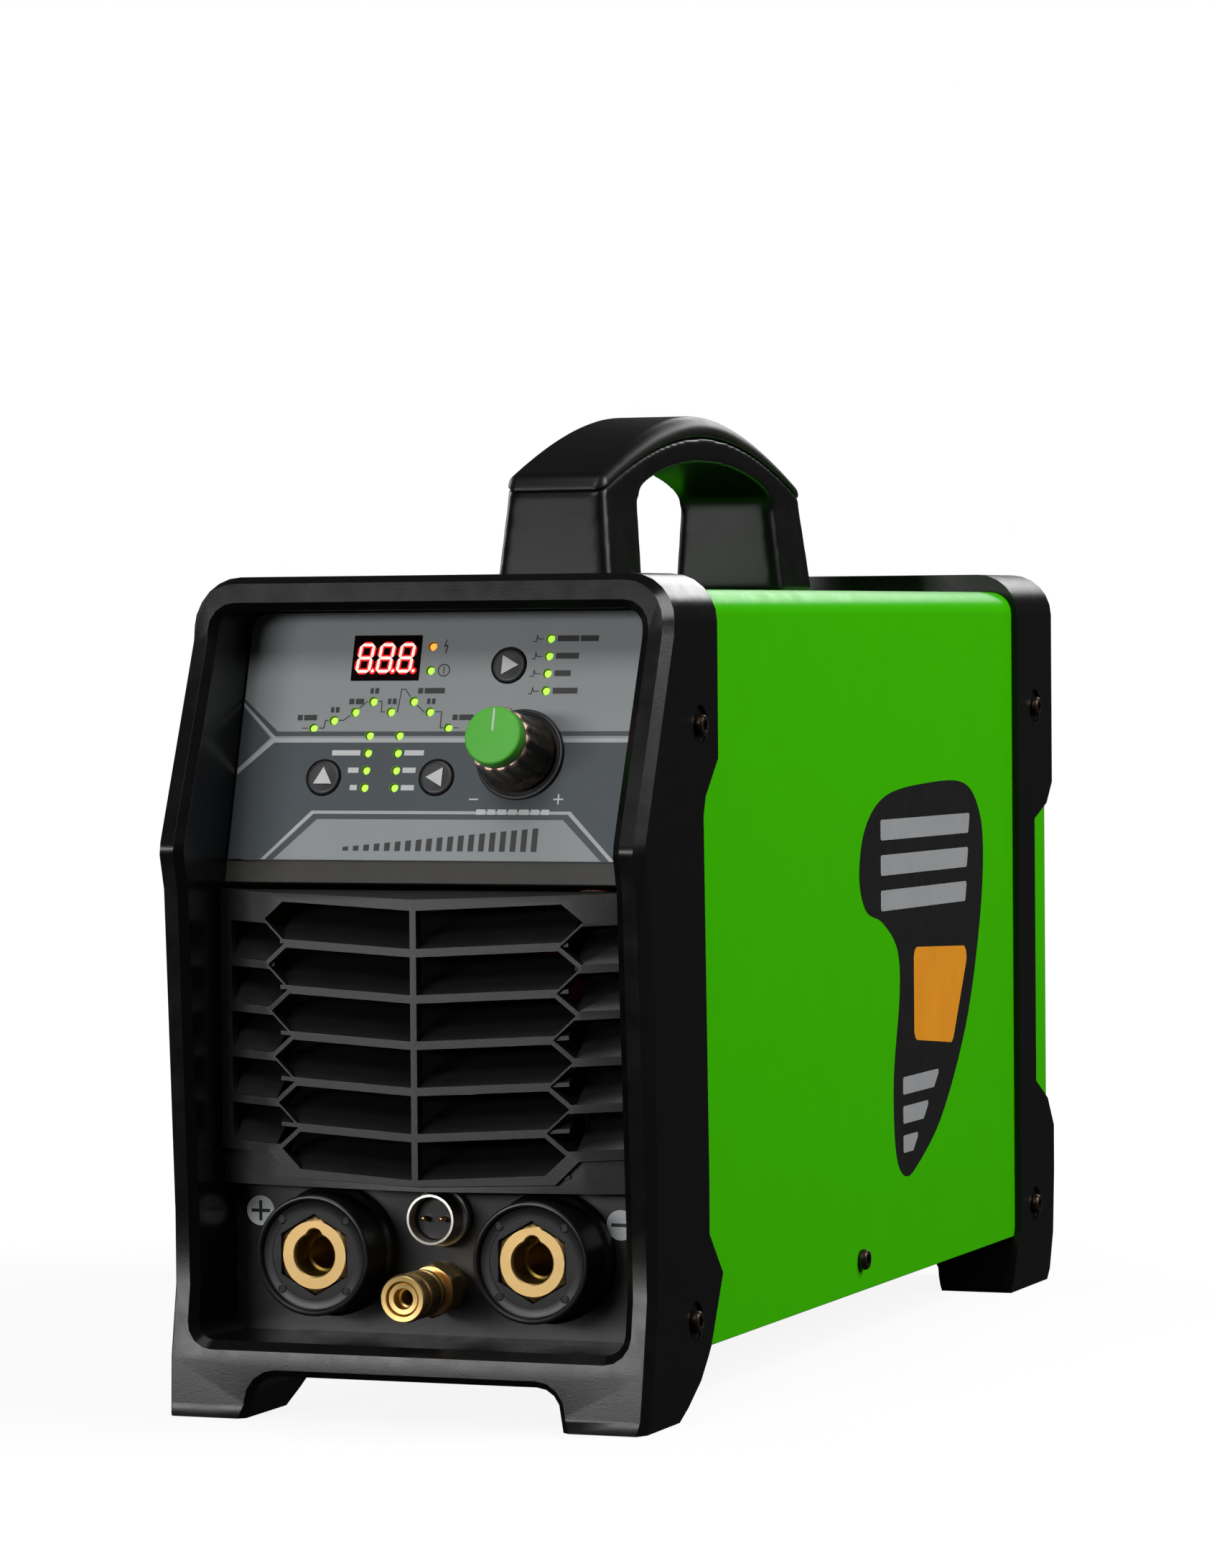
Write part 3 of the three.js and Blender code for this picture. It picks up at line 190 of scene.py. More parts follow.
LOOK = {
    "bezel": finish_of("textured_charcoal_plastic", linear(13, 13, 13), 0.24, grain=1500, bump=0.16,
                       depth=0.09, specular=0.26),
    "grille": finish_of("textured_grey_plastic", linear(22, 22, 22), 0.4, grain=1600, bump=0.4,
                        depth=0.08, specular=1.0),
    "green": finish_of("green_powder_coat", linear(57, 174, 0), 0.3, bump=0, mottle=0.03,
                       specular=0.05),
    "handle": finish_of("satin_black_plastic", linear(9, 9, 9), 0.3, grain=1300, bump=0.3,
                        depth=0.04, specular=0.26),
    "handle_top": finish_of("matt_black_plastic", linear(14, 13, 12), 0.36, grain=1500, bump=0.25,
                            depth=0.05, specular=0.3),
    "nylon": finish_of("satin_black_nylon", linear(27, 27, 28), 0.36, grain=900, bump=0.15),
    "nylon_face": finish_of("dull_grey_nylon", linear(56, 54, 51), 0.5, grain=900, bump=0.15),
    "film_light": finish_of("printed_light_grey", linear(164, 169, 171), 0.42, grain=2200,
                            bump=0.12, depth=0.02, mottle=0.03),
    "film_slate": finish_of("printed_slate", linear(76, 84, 90), 0.42, grain=2200, bump=0.12,
                            depth=0.02, mottle=0.04),
    "film_blue": finish_of("printed_dark_slate", linear(75, 83, 88), 0.42, bump=0.1, depth=0.02),
    "film_pale": finish_of("printed_pale_line", linear(196, 199, 200), 0.42, bump=0.1, depth=0.02),
    "film_dark": finish_of("printed_dark_mark", linear(52, 50, 52), 0.45, bump=0.1, depth=0.02),
    "print_white": finish_of("printed_white", linear(228, 230, 230), 0.5, bump=0.1, depth=0.02),
    "print_black": finish_of("printed_black", linear(22, 22, 22), 0.35, bump=0.1, depth=0.02),
    "print_orange": finish_of("printed_orange", linear(226, 146, 28), 0.4, bump=0.1, depth=0.02),
    "print_disc": finish_of("printed_pale_disc", linear(228, 232, 234), 0.4, bump=0.1, depth=0.02),
    "print_grey": finish_of("printed_grey", linear(150, 152, 154), 0.4, bump=0.1, depth=0.02),
    "brass": finish_of("turned_brass", linear(246, 208, 136), 0.38, metal=1, grain=700, bump=0.12,
                       depth=0.03, mottle=0.1, spread=0.1),
    "brass_dark": finish_of("brass_in_shadow", linear(150, 124, 60), 0.4, metal=1, grain=1100, bump=0.3),
    "brass_raw": finish_of("machined_brass", linear(236, 198, 134), 0.42, metal=1, grain=1100,
                           bump=0.25, depth=0.03, mottle=0.14, spread=0.12),
    "nickel": finish_of("nickel_plate", linear(240, 236, 226), 0.4, metal=1, grain=600, bump=0.08,
                        depth=0.02),
    "steel": finish_of("grey_sheet_steel", linear(150, 153, 156), 0.4, metal=1, grain=300,
                       bump=0.2, stretch=(1, 1, 12)),
    "grey_paint": finish_of("grey_painted_steel", linear(112, 116, 118), 0.45, grain=700,
                            bump=0.25, mottle=0.06),
    "zinc": finish_of("zinc_plate", linear(190, 192, 190), 0.36, metal=1, grain=200, bump=0.12,
                      mottle=0.2),
    "alloy": finish_of("extruded_alloy", linear(205, 207, 208), 0.35, metal=1, grain=500,
                       bump=0.2, stretch=(1, 0.1, 1)),
    "board": finish_of("solder_mask", linear(34, 110, 44), 0.35, grain=500, bump=0.3, mottle=0.2),
    "ferrite": finish_of("ferrite", linear(62, 62, 66), 0.6, grain=900, bump=0.3),
    "copper": finish_of("enamelled_copper", linear(176, 94, 48), 0.3, metal=0.9, grain=900,
                        bump=0.4, stretch=(1, 6, 1)),
    "red_part": finish_of("red_film_part", linear(150, 20, 24), 0.35, grain=600, bump=0.2),
    "screw": finish_of("blackened_steel", linear(74, 62, 52), 0.34, metal=0.9, grain=900,
                       bump=0.25, mottle=0.2),
    "button": finish_of("grey_rubber_key", linear(52, 52, 54), 0.4, grain=1500, bump=0.25),
    "skirt": finish_of("brown_metallic_plastic", linear(84, 74, 63), 0.28, metal=0.75,
                       grain=1200, bump=0.15, mottle=0.1),
    "rim": finish_of("pink_metallic_rim", linear(196, 160, 146), 0.35, metal=0.5, grain=1200,
                     bump=0.2),
    "cap": finish_of("green_cap", linear(92, 202, 60), 0.5, grain=1600, bump=0.5, depth=0.06,
                     mottle=0.04),
    "dark_filter": finish_of("dark_display_filter", linear(20, 4, 6), 0.12, bump=0),
    "gold_pin": finish_of("gilt_pin", linear(214, 170, 96), 0.2, metal=1, bump=0.05),
    "led": lit("green_lamp", (0.46, 0.95, 0.08), 1.1, edge=(0.3, 0.8, 0.04)),
    "led_orange": lit("orange_lamp", (1.0, 0.42, 0.05), 1.3, edge=(0.9, 0.24, 0.02)),
    "digit": lit("lit_digit", (1.0, 0.5, 0.46), 1.6, edge=(1.0, 0.4, 0.36)),
    "digit_halo": lit("digit_halo", (0.8, 0.012, 0.01), 0.95, edge=(0.6, 0.01, 0.01)),
}


# ---- building pieces ----
SHARP_ANGLE = 34  # degrees between two faces from which their edge is drawn sharp
ROUNDED_ANGLE = 28  # and from which it is rounded


def new_object(name, mesh):
    made = bpy.data.objects.new(name, mesh)
    bpy.context.scene.collection.objects.link(made)
    return made


def shaded(mesh, angle=32):
    mesh.polygons.foreach_set("use_smooth", [True] * len(mesh.polygons))
    mesh.set_sharp_from_angle(angle=math.radians(angle))
    mesh.update()


def dress(piece, look, body, nodes=()):
    piece.data.materials.clear()
    piece.data.materials.append(LOOK[look])
    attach(piece, body)
    if nodes:
        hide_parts(*nodes)
    return piece


def from_bmesh(name, bm, angle=32):
    bmesh.ops.remove_doubles(bm, verts=bm.verts, dist=1e-7)
    bmesh.ops.recalc_face_normals(bm, faces=bm.faces)
    mesh = bpy.data.meshes.new(name)
    bm.to_mesh(mesh)
    bm.free()
    shaded(mesh, angle)
    return new_object(name, mesh)


def with_modifiers(piece):
    """Applies a piece's modifiers to its mesh."""
    graph = bpy.context.evaluated_depsgraph_get()
    mesh = bpy.data.meshes.new_from_object(piece.evaluated_get(graph))
    old = piece.data
    piece.modifiers.clear()
    piece.data = mesh
    bpy.data.meshes.remove(old)
    return piece


def refined(node, look, width=0.4, segments=3):
    """A CAD node's own shape with its flats made whole and its edges rounded."""
    bm = bmesh.new()
    bm.from_mesh(NODES[node].data)
    bmesh.ops.remove_doubles(bm, verts=bm.verts, dist=2e-6)
    bmesh.ops.dissolve_limit(bm, angle_limit=math.radians(0.7), verts=bm.verts, edges=bm.edges)
    mesh = bpy.data.meshes.new(node + "_shape")
    bm.to_mesh(mesh)
    bm.free()
    mesh.polygons.foreach_set("use_smooth", [True] * len(mesh.polygons))
    mesh.set_sharp_from_angle(angle=math.radians(SHARP_ANGLE))
    piece = new_object(node + "_shape", mesh)
    bevel = piece.modifiers.new("edges", "BEVEL")
    bevel.width = width * MM
    bevel.segments = segments
    bevel.limit_method = "ANGLE"
    bevel.angle_limit = math.radians(ROUNDED_ANGLE)
    bevel.use_clamp_overlap = True
    flats = piece.modifiers.new("flats", "WEIGHTED_NORMAL")
    flats.keep_sharp = True
    flats.weight = 90
    with_modifiers(piece)
    return dress(piece, look, NODES[node]["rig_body"], nodes=(node,))


def value(item, angle):
    return item(angle) if callable(item) else item


def add_polar(bm, rings, place, segments, closed=False):
    """Adds a body whose rings are (radius, height) about a local z axis; a radius may vary with the angle."""
    made = []
    for radius, height in rings:
        if not callable(radius) and radius == 0:
            made.append([bm.verts.new(place @ Vector((0, 0, height * MM)))])
            continue
        ring = []
        for i in range(segments):
            t = TAU * i / segments
            r = value(radius, t)
            ring.append(bm.verts.new(place @ (Vector((r * math.cos(t), r * math.sin(t), height)) * MM)))
        made.append(ring)
    pairs = list(zip(made, made[1:]))
    if closed:
        pairs.append((made[-1], made[0]))
    else:
        for ring in (made[0], made[-1]):
            if len(ring) > 1:
                bm.faces.new(ring)
    for a, b in pairs:
        for i in range(segments):
            j = (i + 1) % segments
            corners = [a[i % len(a)], a[j % len(a)], b[j % len(b)], b[i % len(b)]]
            corners = list(dict.fromkeys(corners))
            if len(corners) > 2:
                bm.faces.new(corners)


def polar(name, rings, place, segments=72, closed=False, angle=32):
    bm = bmesh.new()
    add_polar(bm, rings, place, segments, closed)
    return from_bmesh(name, bm, angle)


def turned(node, look, slot, place, rings, segments=72, closed=False, angle=32, body="machine"):
    """A turned piece that takes a CAD node's place."""
    piece = polar(node + "_shape", rings, place, segments, closed, angle)
    return dress(piece, look, body, (node,))


def hexagon(across_flats):
    sixth = math.pi / 3
    return lambda t: across_flats / 2 / math.cos((t + sixth / 2) % sixth - sixth / 2)


def scalloped(r, depth, count):
    return lambda t: r - depth * (0.5 - 0.5 * math.cos(count * t)) ** 1.5


def smaller(a, b):
    return lambda t: min(value(a, t), value(b, t))


def threads(r, low, high, pitch=0.8, depth=0.3):
    """Ring pairs that run up a threaded or ribbed stretch."""
    count = int((high - low) / pitch)
    return [(r - depth * (k % 2), low + (high - low) * k / (2 * count)) for k in range(2 * count + 1)]


def rounded_loop(x0, x1, y0, y1, r):
    steps = 5
    r = min(r, (x1 - x0) / 2 * 0.999, (y1 - y0) / 2 * 0.999)
    corners = ((x1 - r, y1 - r, 0), (x0 + r, y1 - r, 1), (x0 + r, y0 + r, 2), (x1 - r, y0 + r, 3))
    return [
        (cx + r * math.cos((q + i / steps) * math.pi / 2), cy + r * math.sin((q + i / steps) * math.pi / 2))
        for cx, cy, q in corners
        for i in range(steps + 1)
    ]


def circle_loop(x, y, r, steps=28):
    return [(x + r * math.cos(TAU * i / steps), y + r * math.sin(TAU * i / steps)) for i in range(steps)]


def cut_sheet(name, loops, thickness, place):
    """A flat sheet from loops of (x, y); a loop inside another is a hole."""
    curve = bpy.data.curves.new(name, "CURVE")
    curve.dimensions = "2D"
    curve.fill_mode = "BOTH"
    curve.extrude = thickness / 2 * MM
    for loop in loops:
        spline = curve.splines.new("POLY")
        spline.points.add(len(loop) - 1)
        for target, (x, y) in zip(spline.points, loop):
            target.co = (x * MM, y * MM, 0, 1)
        spline.use_cyclic_u = True
    source = new_object(name + "_curve", curve)
    graph = bpy.context.evaluated_depsgraph_get()
    mesh = bpy.data.meshes.new_from_object(source.evaluated_get(graph))
    bpy.data.objects.remove(source)
    bpy.data.curves.remove(curve)
    mesh.transform(place @ Matrix.Translation((0, 0, thickness / 2 * MM)))
    bm = bmesh.new()
    bm.from_mesh(mesh)
    bpy.data.meshes.remove(mesh)
    return from_bmesh(name, bm)


def prisms(name, outlines, thickness, place):
    """Flat pieces, one for each outline, as one object."""
    bm = bmesh.new()
    for outline in outlines:
        low = [bm.verts.new(place @ Vector((x * MM, y * MM, 0))) for x, y in outline]
        high = [bm.verts.new(place @ Vector((x * MM, y * MM, thickness * MM))) for x, y in outline]
        bm.faces.new(low[::-1])
        bm.faces.new(high)
        for i in range(len(outline)):
            j = (i + 1) % len(outline)
            bm.faces.new((low[i], low[j], high[j], high[i]))
    bmesh.ops.recalc_face_normals(bm, faces=bm.faces)
    mesh = bpy.data.meshes.new(name)
    bm.to_mesh(mesh)
    bm.free()
    return new_object(name, mesh)


def line_pieces(points, width):
    """A drawn line as one short bar for each of its straight runs, lapping at the corners."""
    pieces = []
    for a, b in zip(points, points[1:]):
        a, b = Vector(a), Vector(b)
        ahead = (b - a).normalized() * width / 2
        side = Vector((-ahead.y, ahead.x))
        pieces.append([tuple(a - ahead + side), tuple(a - ahead - side), tuple(b + ahead - side),
                       tuple(b + ahead + side)])
    return pieces


def ring_pieces(x, y, r, width):
    points = circle_loop(x, y, r, 24)
    return line_pieces([*points, points[0]], width)


def loft(name, rings, angle=40):
    """A closed body through rings of points that all hold the same number, in metres."""
    bm = bmesh.new()
    made = [[bm.verts.new(p) for p in ring] for ring in rings]
    count = len(made[0])
    for a, b in zip(made, made[1:]):
        for i in range(count):
            j = (i + 1) % count
            bm.faces.new((a[i], a[j], b[j], b[i]))
    bm.faces.new(made[0])
    bm.faces.new(made[-1])
    return from_bmesh(name, bm, angle)


def joined(name, pieces):
    """One piece from several that share a finish."""
    bm = bmesh.new()
    for piece in pieces:
        bm.from_mesh(piece.data)
        mesh = piece.data
        bpy.data.objects.remove(piece)
        bpy.data.meshes.remove(mesh)
    return from_bmesh(name, bm)


# ---- casing ----
def casing():
    refined("front_bezel", "bezel", 0.55)
    refined("rear_bezel", "bezel", 0.55)
    refined("front_grille", "grille", 0.3, segments=2)
    refined("cover", "green", 0.35, segments=2)
    refined("rear_panel", "grey_paint", 0.3, segments=2)
    refined("connector_plate", "nylon", 0.2, segments=2)
    refined("control_fascia", "nylon_face", 0.3, segments=2)
    refined("base_plate", "zinc", 0.2, segments=1)


def handle():
    """Legs and arch in one moulding, and the bowed shell that closes its top."""
    frame_shape = new_object("handle_frame_shape", NODES["handle_frame"].data.copy())
    even = frame_shape.modifiers.new("even", "REMESH")
    even.mode = "VOXEL"
    even.voxel_size = 0.9 * MM
    soft = frame_shape.modifiers.new("soft", "SMOOTH")
    soft.factor = 0.5
    soft.iterations = 12
    with_modifiers(frame_shape)
    shaded(frame_shape.data, 60)
    dress(frame_shape, "handle", "machine", ("handle_frame",))
    half, start, end, corner = 17.4, 149.0, 346.7, 4.0
    stations = 96
    rings = []
    for i in range(stations + 1):
        t = 0.5 - 0.5 * math.cos(math.pi * i / stations)
        y = start + (end - start) * t
        rise = max(math.sin(math.pi * t), 0)
        short = max(corner - min(y - start, end - y), 0)
        fall = corner - math.sqrt(corner ** 2 - short ** 2)
        low = 287.3 + 19.8 * rise ** 0.9 + 0.3
        high = 292 + 22.5 * rise - fall
        x, r = half - fall, min(5.5, (high - low) * 0.85)
        section = [(-x + 0.35, low), (x - 0.35, low), (x, low + 0.35)]
        arc = [(r * math.cos(k * math.pi / 16), r * math.sin(k * math.pi / 16)) for k in range(9)]
        section += [(x - r + a, high - r + b) for a, b in arc]
        section += [(r - x - a, high - r + b) for a, b in reversed(arc)]
        section.append((-x, low + 0.35))
        rings.append([point(across, y, z) for across, z in section])
    grip = loft("handle_grip_shape", rings, 50)
    dress(grip, "handle_top", "machine", ("handle_grip",))


def screws():
    """Button-head screws with a star recess, on both sides."""
    for node in sorted(NODES):
        if not node.startswith("screw_"):
            continue
        side = 1 if node.endswith("right") else -1
        low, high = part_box(node)
        head = (high.x if side > 0 else -low.x) / MM
        middle = middle_of(node)
        place = facing_side(side, middle.y - DATUM_Y, middle.z, head)
        star = scalloped(1.75, 0.35, 6)
        rings = [
            (0, -1.9), (star, -1.8), (star, -0.15), (2.05, 0), (2.9, -0.15),
            (3.3, -0.6), (3.48, -1.3), (3.5, -2.3), (3.35, -2.55), (1.9, -2.6), (1.9, -10), (0, -10),
        ]
        turned(node, "screw", "dark_screw", place, rings, 48)


# ---- control panel ----
WAVE = ((-45.8, 42.7), (-39.1, 45.2), (-32.1, 47.9), (-26.3, 51.3), (-20, 47.9), (-12.6, 51.3),
        (-6.8, 47.9), (-0.1, 42.7))
PAIRS = [(x, 40.3 - 5.6 * row) for row in range(4) for x in (-26.4, -16.3)]
MODES = [(31.3, 71.4 - 5.6 * row) for row in range(4)]
FAULT, READY = (-8, 69.1), (-8, 61.3)
LAMPS = [*WAVE, *PAIRS, *MODES, READY, FAULT]
LAMP_HOLE_R = 1.5
KEYS = {"up": (-40.5, 26.7), "left": (-2.3, 26.8), "right": (18.3, 62.8)}
KEY_HOLE_R = 6.0
SHAFT_HOLE_R = 4.3
SHEET = 70.3
SHEET_TOP = 80.3
PRINT = 0.03  # thickness of one printed layer
DISPLAY = (-34.6, -11.8, 58.2, 72.6)


def panel_holes():
    x0, x1, v0, v1 = DISPLAY
    return [
        *[circle_loop(x, v, LAMP_HOLE_R, 20) for x, v in LAMPS],
        *[circle_loop(x, v, KEY_HOLE_R, 48) for x, v in KEYS.values()],
        circle_loop(*KNOB_AT, SHAFT_HOLE_R, 24),
        [(x0 - 0.2, v0 - 0.2), (x1 + 0.2, v0 - 0.2), (x1 + 0.2, v1 + 0.2), (x0 - 0.2, v1 + 0.2)],
    ]


def printed(name, outlines, look, layer):
    """One printed layer on the panel's film, pierced where the film is."""
    sheet = cut_sheet(name, outlines, PRINT, on_panel(h=PRINT * (layer - 1) + 0.01))
    return dress(sheet, look, "machine")


def lamp_rim(x, v, start, stop, side):
    """Points on the left or right rim of a lamp hole between two heights."""
    heights = [start + (stop - start) * k / 6 for k in range(7)]
    return [(x + side * math.sqrt(LAMP_HOLE_R ** 2 - (at - v) ** 2), at) for at in heights]


def film():
    sheet = cut_sheet(
        "control_film", [rounded_loop(-SHEET, SHEET, 0.2, SHEET_TOP, 5.4), *panel_holes()], 0.5,
        on_panel(h=-0.5),
    )
    dress(sheet, "film_light", "machine", ("control_overlay",))
    # The lower field, whose upper edge turns down at both sides into a point.
    kink_x = 59.2
    low_holes = [circle_loop(x, v, LAMP_HOLE_R, 20) for x, v in PAIRS if v < 38]
    low_holes += [circle_loop(x, v, KEY_HOLE_R, 48) for x, v in (KEYS["up"], KEYS["left"])]
    low_holes.append(circle_loop(*KNOB_AT, SHAFT_HOLE_R, 24))
    field = [(-SHEET, 0.3), (SHEET, 0.3), (SHEET, 38.0), (-kink_x - 0.4, 38.0), (-SHEET, 28.3)]
    printed("lower_field", [field, *low_holes], "film_slate", 1)
    wedge = [(-SHEET, 49.6), (-SHEET, 29.6), (-kink_x - 0.9, 39.6)]
    printed("left_wedge", [wedge], "film_blue", 1)
    (left_x, top_v), (right_x, _) = PAIRS[:2]
    low_v, high_v = 40.1, 41.6
    band = [
        [(-SHEET, 52.2), (-SHEET, 50.0), (-kink_x + 0.6, low_v), *lamp_rim(left_x, top_v, low_v, high_v, -1),
         (-kink_x + 1.4, high_v)],
        [*lamp_rim(left_x, top_v, high_v, low_v, 1), *lamp_rim(right_x, top_v, low_v, high_v, -1)],
        [*lamp_rim(right_x, top_v, high_v, low_v, 1), (SHEET - 8, low_v), (SHEET, 41.0), (SHEET, 42.9),
         (SHEET - 8.4, high_v)],
    ]
    printed("upper_band", band, "film_blue", 1)
    bites = []
    for x in (right_x, left_x):
        edge = math.asin((39.38 - top_v) / LAMP_HOLE_R)
        turn = math.pi + 2 * edge
        bites += [(x + LAMP_HOLE_R * math.cos(edge - turn * k / 8),
                   top_v + LAMP_HOLE_R * math.sin(edge - turn * k / 8)) for k in range(9)]
    pale = [(-SHEET, 50.0), (-kink_x, 39.5), (-SHEET, 29.4), (-SHEET, 27.6), (-kink_x + 0.6, 38.0),
            (SHEET, 38.0), (SHEET, 39.0), (SHEET - 9, 39.3), *bites, (-kink_x + 1.2, 39.4), (-SHEET, 51.0)]
    printed("pale_line", [pale], "film_pale", 2)
    # The title block at the foot: a pale field between doubled lines.
    for name, grow, look, layer in (("title_outer", 4.4, "film_pale", 2), ("title_gap", 2.8, "film_blue", 3),
                                    ("title_field", 0.0, "film_light", 4)):
        block = [(-54.8 - grow, 0.3), (54.8 + grow, 0.3), (41.2 + grow * 0.5, 13.3 + grow * 0.62),
                 (-41.2 - grow * 0.5, 13.3 + grow * 0.62)]
        printed(name, [block], look, layer)
    # A plain rising scale in place of a name.
    bars = []
    for i in range(19):
        x = -31.5 + i * 3.5
        bars.append([(x, 3.2), (x + 1.9, 3.2), (x + 1.9, 4.6 + i * 0.34), (x, 4.4 + i * 0.34)])
    printed("title_scale", bars, "film_dark", 5)


def symbols():
    """Line symbols and short bars that stand where small labels are."""
    (t0, s0, u0, p0, b0, d0, f0, e0) = WAVE
    line = [(-49.4, 42.7), (t0[0] + 3.6, 42.7), (t0[0] + 4, 45.2), (s0[0] + 3.4, 45.2), (u0[0], 47.9),
            (p0[0] - 2, 51.3), (p0[0] + 3, 51.3), (p0[0] + 3.2, 47.9), (b0[0] + 2.3, 47.9),
            (b0[0] + 3, 55.2), (b0[0] + 4.3, 55.2), (d0[0], 51.3), (f0[0] - 2, 47.9),
            (f0[0] + 4, 47.9), (f0[0] + 4.1, 42.7), (e0[0] + 3.4, 42.7)]
    clear = LAMP_HOLE_R + 0.35
    dark = []
    step = 0.25
    for a, b in zip(line, line[1:]):
        a, b = Vector(a), Vector(b)
        count = max(int((b - a).length / step), 1)
        run = []
        for i in range(count + 1):
            spot = a + (b - a) * i / count
            if min(math.dist(spot, lamp) for lamp in WAVE) > clear:
                run.append(tuple(spot))
            elif run:
                dark += line_pieces([run[0], run[-1]], 0.32) if len(run) > 1 else []
                run = []
        if len(run) > 1:
            dark += line_pieces([run[0], run[-1]], 0.32)

    def bars(x, v, widths, height=1.7, gap=0.5):
        made = []
        for width in widths:
            made.append([(x, v), (x + width, v), (x + width, v + height), (x, v + height)])
            x += width + gap
        return made

    for (x, v), widths in zip(WAVE, ((1.7, 4.4), (1.1, 1.3), (1.7, 2.8), (1.1, 1.3), (1.1, 1.3),
                                     (1.7, 6.8), (1.1, 1.2), (1.7, 4.8))):
        across = sum(widths) + 0.5
        shift = 1.2 if (x, v) in (WAVE[5], WAVE[7]) else -across / 2 + 0.2
        dark += bars(x + shift - (2.6 if (x, v) == WAVE[0] else 0), v + 2.5, widths, 1.8)
    for (x, v), widths in zip(MODES, ((7.2, 6.0), (7.6,), (5.4,), (8.2,))):
        dark += bars(x + 2.4, v - 1.0, widths, 1.9)
        dark += line_pieces([(x - 5.6, v - 1), (x - 4.6, v - 1), (x - 4.4, v + 1), (x - 4, v - 0.2),
                             (x - 2.3, v - 0.2)], 0.28)
    x, v = READY
    dark += ring_pieces(x + 4.6, v, 1.9, 0.32)
    dark += line_pieces([(x + 4.6, v - 1.1), (x + 4.6, v + 1.1)], 0.3)
    x, v = FAULT
    dark += line_pieces([(x + 4.6, v + 2), (x + 4.1, v), (x + 5.1, v + 0.2), (x + 4.6, v - 2.2)], 0.35)
    sheet = prisms("dark_marks", dark, PRINT, on_panel(h=PRINT + 0.01))
    dress(sheet, "film_dark", "machine")
    pale = []
    for (x, v), widths, side in zip(PAIRS[2:], ((9.6,), (6.6,), (3.6,), (4.4,), (2.4,), (4.4,)),
                                    (-1, 1, -1, 1, -1, 1)):
        start = x + 2.4 if side > 0 else x - 2.4 - widths[0]
        pale += bars(start, v - 0.9, widths, 1.7)
    pale += line_pieces([(9.6, 19.8), (12.2, 19.8)], 0.45)
    pale += line_pieces([(37.6, 19.9), (40.4, 19.9)], 0.45) + line_pieces([(39, 18.5), (39, 21.3)], 0.45)
    pale += bars(12.2, 14.9, (3.0, 2.6, 3.0, 2.8, 3.2, 2.8, 2.6), 1.7, 0.7)
    sheet = prisms("pale_marks", pale, PRINT, on_panel(h=PRINT * 4 + 0.01))
    dress(sheet, "print_white", "machine")


def lamps():
    def lens(x, v):
        return polar("lens", [(0, -3.2), (1.28, -3.2), (1.28, -1.35), (1.16, -0.85), (0.8, -0.45), (0, -0.3)],
                     on_panel(x, v), 24, angle=50)
    green = joined("green_lamps", [lens(x, v) for x, v in LAMPS if (x, v) != FAULT])
    dress(green, "led", "machine")
    dress(lens(*FAULT), "led_orange", "machine").name = "orange_lamp"
    dress(refined_board(), "board", "machine", ("control_board",))


def refined_board():
    mesh = NODES["control_board"].data.copy()
    bm = bmesh.new()
    bm.from_mesh(mesh)
    bpy.data.meshes.remove(mesh)
    # The light pegs give way to the lenses: only what stands behind the fascia is kept.
    board_h = -9.8
    inverse = on_panel().inverted()
    doomed = [v for v in bm.verts if (inverse @ v.co).z / MM > board_h + 2.2]
    bmesh.ops.delete(bm, geom=doomed, context="VERTS")
    edges = [e for e in bm.edges if e.is_boundary]
    bmesh.ops.holes_fill(bm, edges=edges, sides=0)
    return from_bmesh("control_board_shape", bm)


def display():
    x0, x1, v0, v1 = DISPLAY
    body = cut_sheet("display_body", [rounded_loop(x0, x1, v0, v1, 0.4)], 9.4, on_panel(h=-9.5))
    dress(body, "dark_filter", "machine", ("display_module",))
    width, height, stroke, lean = 4.2, 8.6, 0.95, 0.12

    def segment(cx, cv, length, upright, thick):
        half, t = length / 2, thick / 2
        shape = [(-half, 0), (-half + t, t), (half - t, t), (half, 0), (half - t, -t), (-half + t, -t)]
        if upright:
            shape = [(-b, a) for a, b in shape]
        return [(cx + a, cv + b) for a, b in shape]

    def digit(cx, cv, thick):
        w, h = width / 2, height / 2
        run = height / 2 - 0.15
        made = [segment(cx, cv + k * h, width - 0.2, False, thick) for k in (-1, 0, 1)]
        made += [segment(cx + sx * w, cv + sv * h / 2, run, True, thick) for sx in (-1, 1) for sv in (-1, 1)]
        made.append(circle_loop(cx + w + 1.25, cv - h + 0.1, thick * 0.55, 14))
        return [[(x + (v - cv) * lean, v) for x, v in loop] for loop in made]

    middle = (v0 + v1) / 2
    centres = [(x0 + x1) / 2 + k * 6.9 - 0.4 for k in (-1, 0, 1)]
    for name, thick, look, layer in (("digit_halos", stroke * 2.1, "digit_halo", 0.0),
                                     ("digits", stroke, "digit", 0.04)):
        loops = [loop for c in centres for loop in digit(c, middle, thick)]
        pieces = [cut_sheet("segment", [loop], 0.03, on_panel(h=-0.06 + layer)) for loop in loops]
        dress(joined(name, pieces), look, "machine")


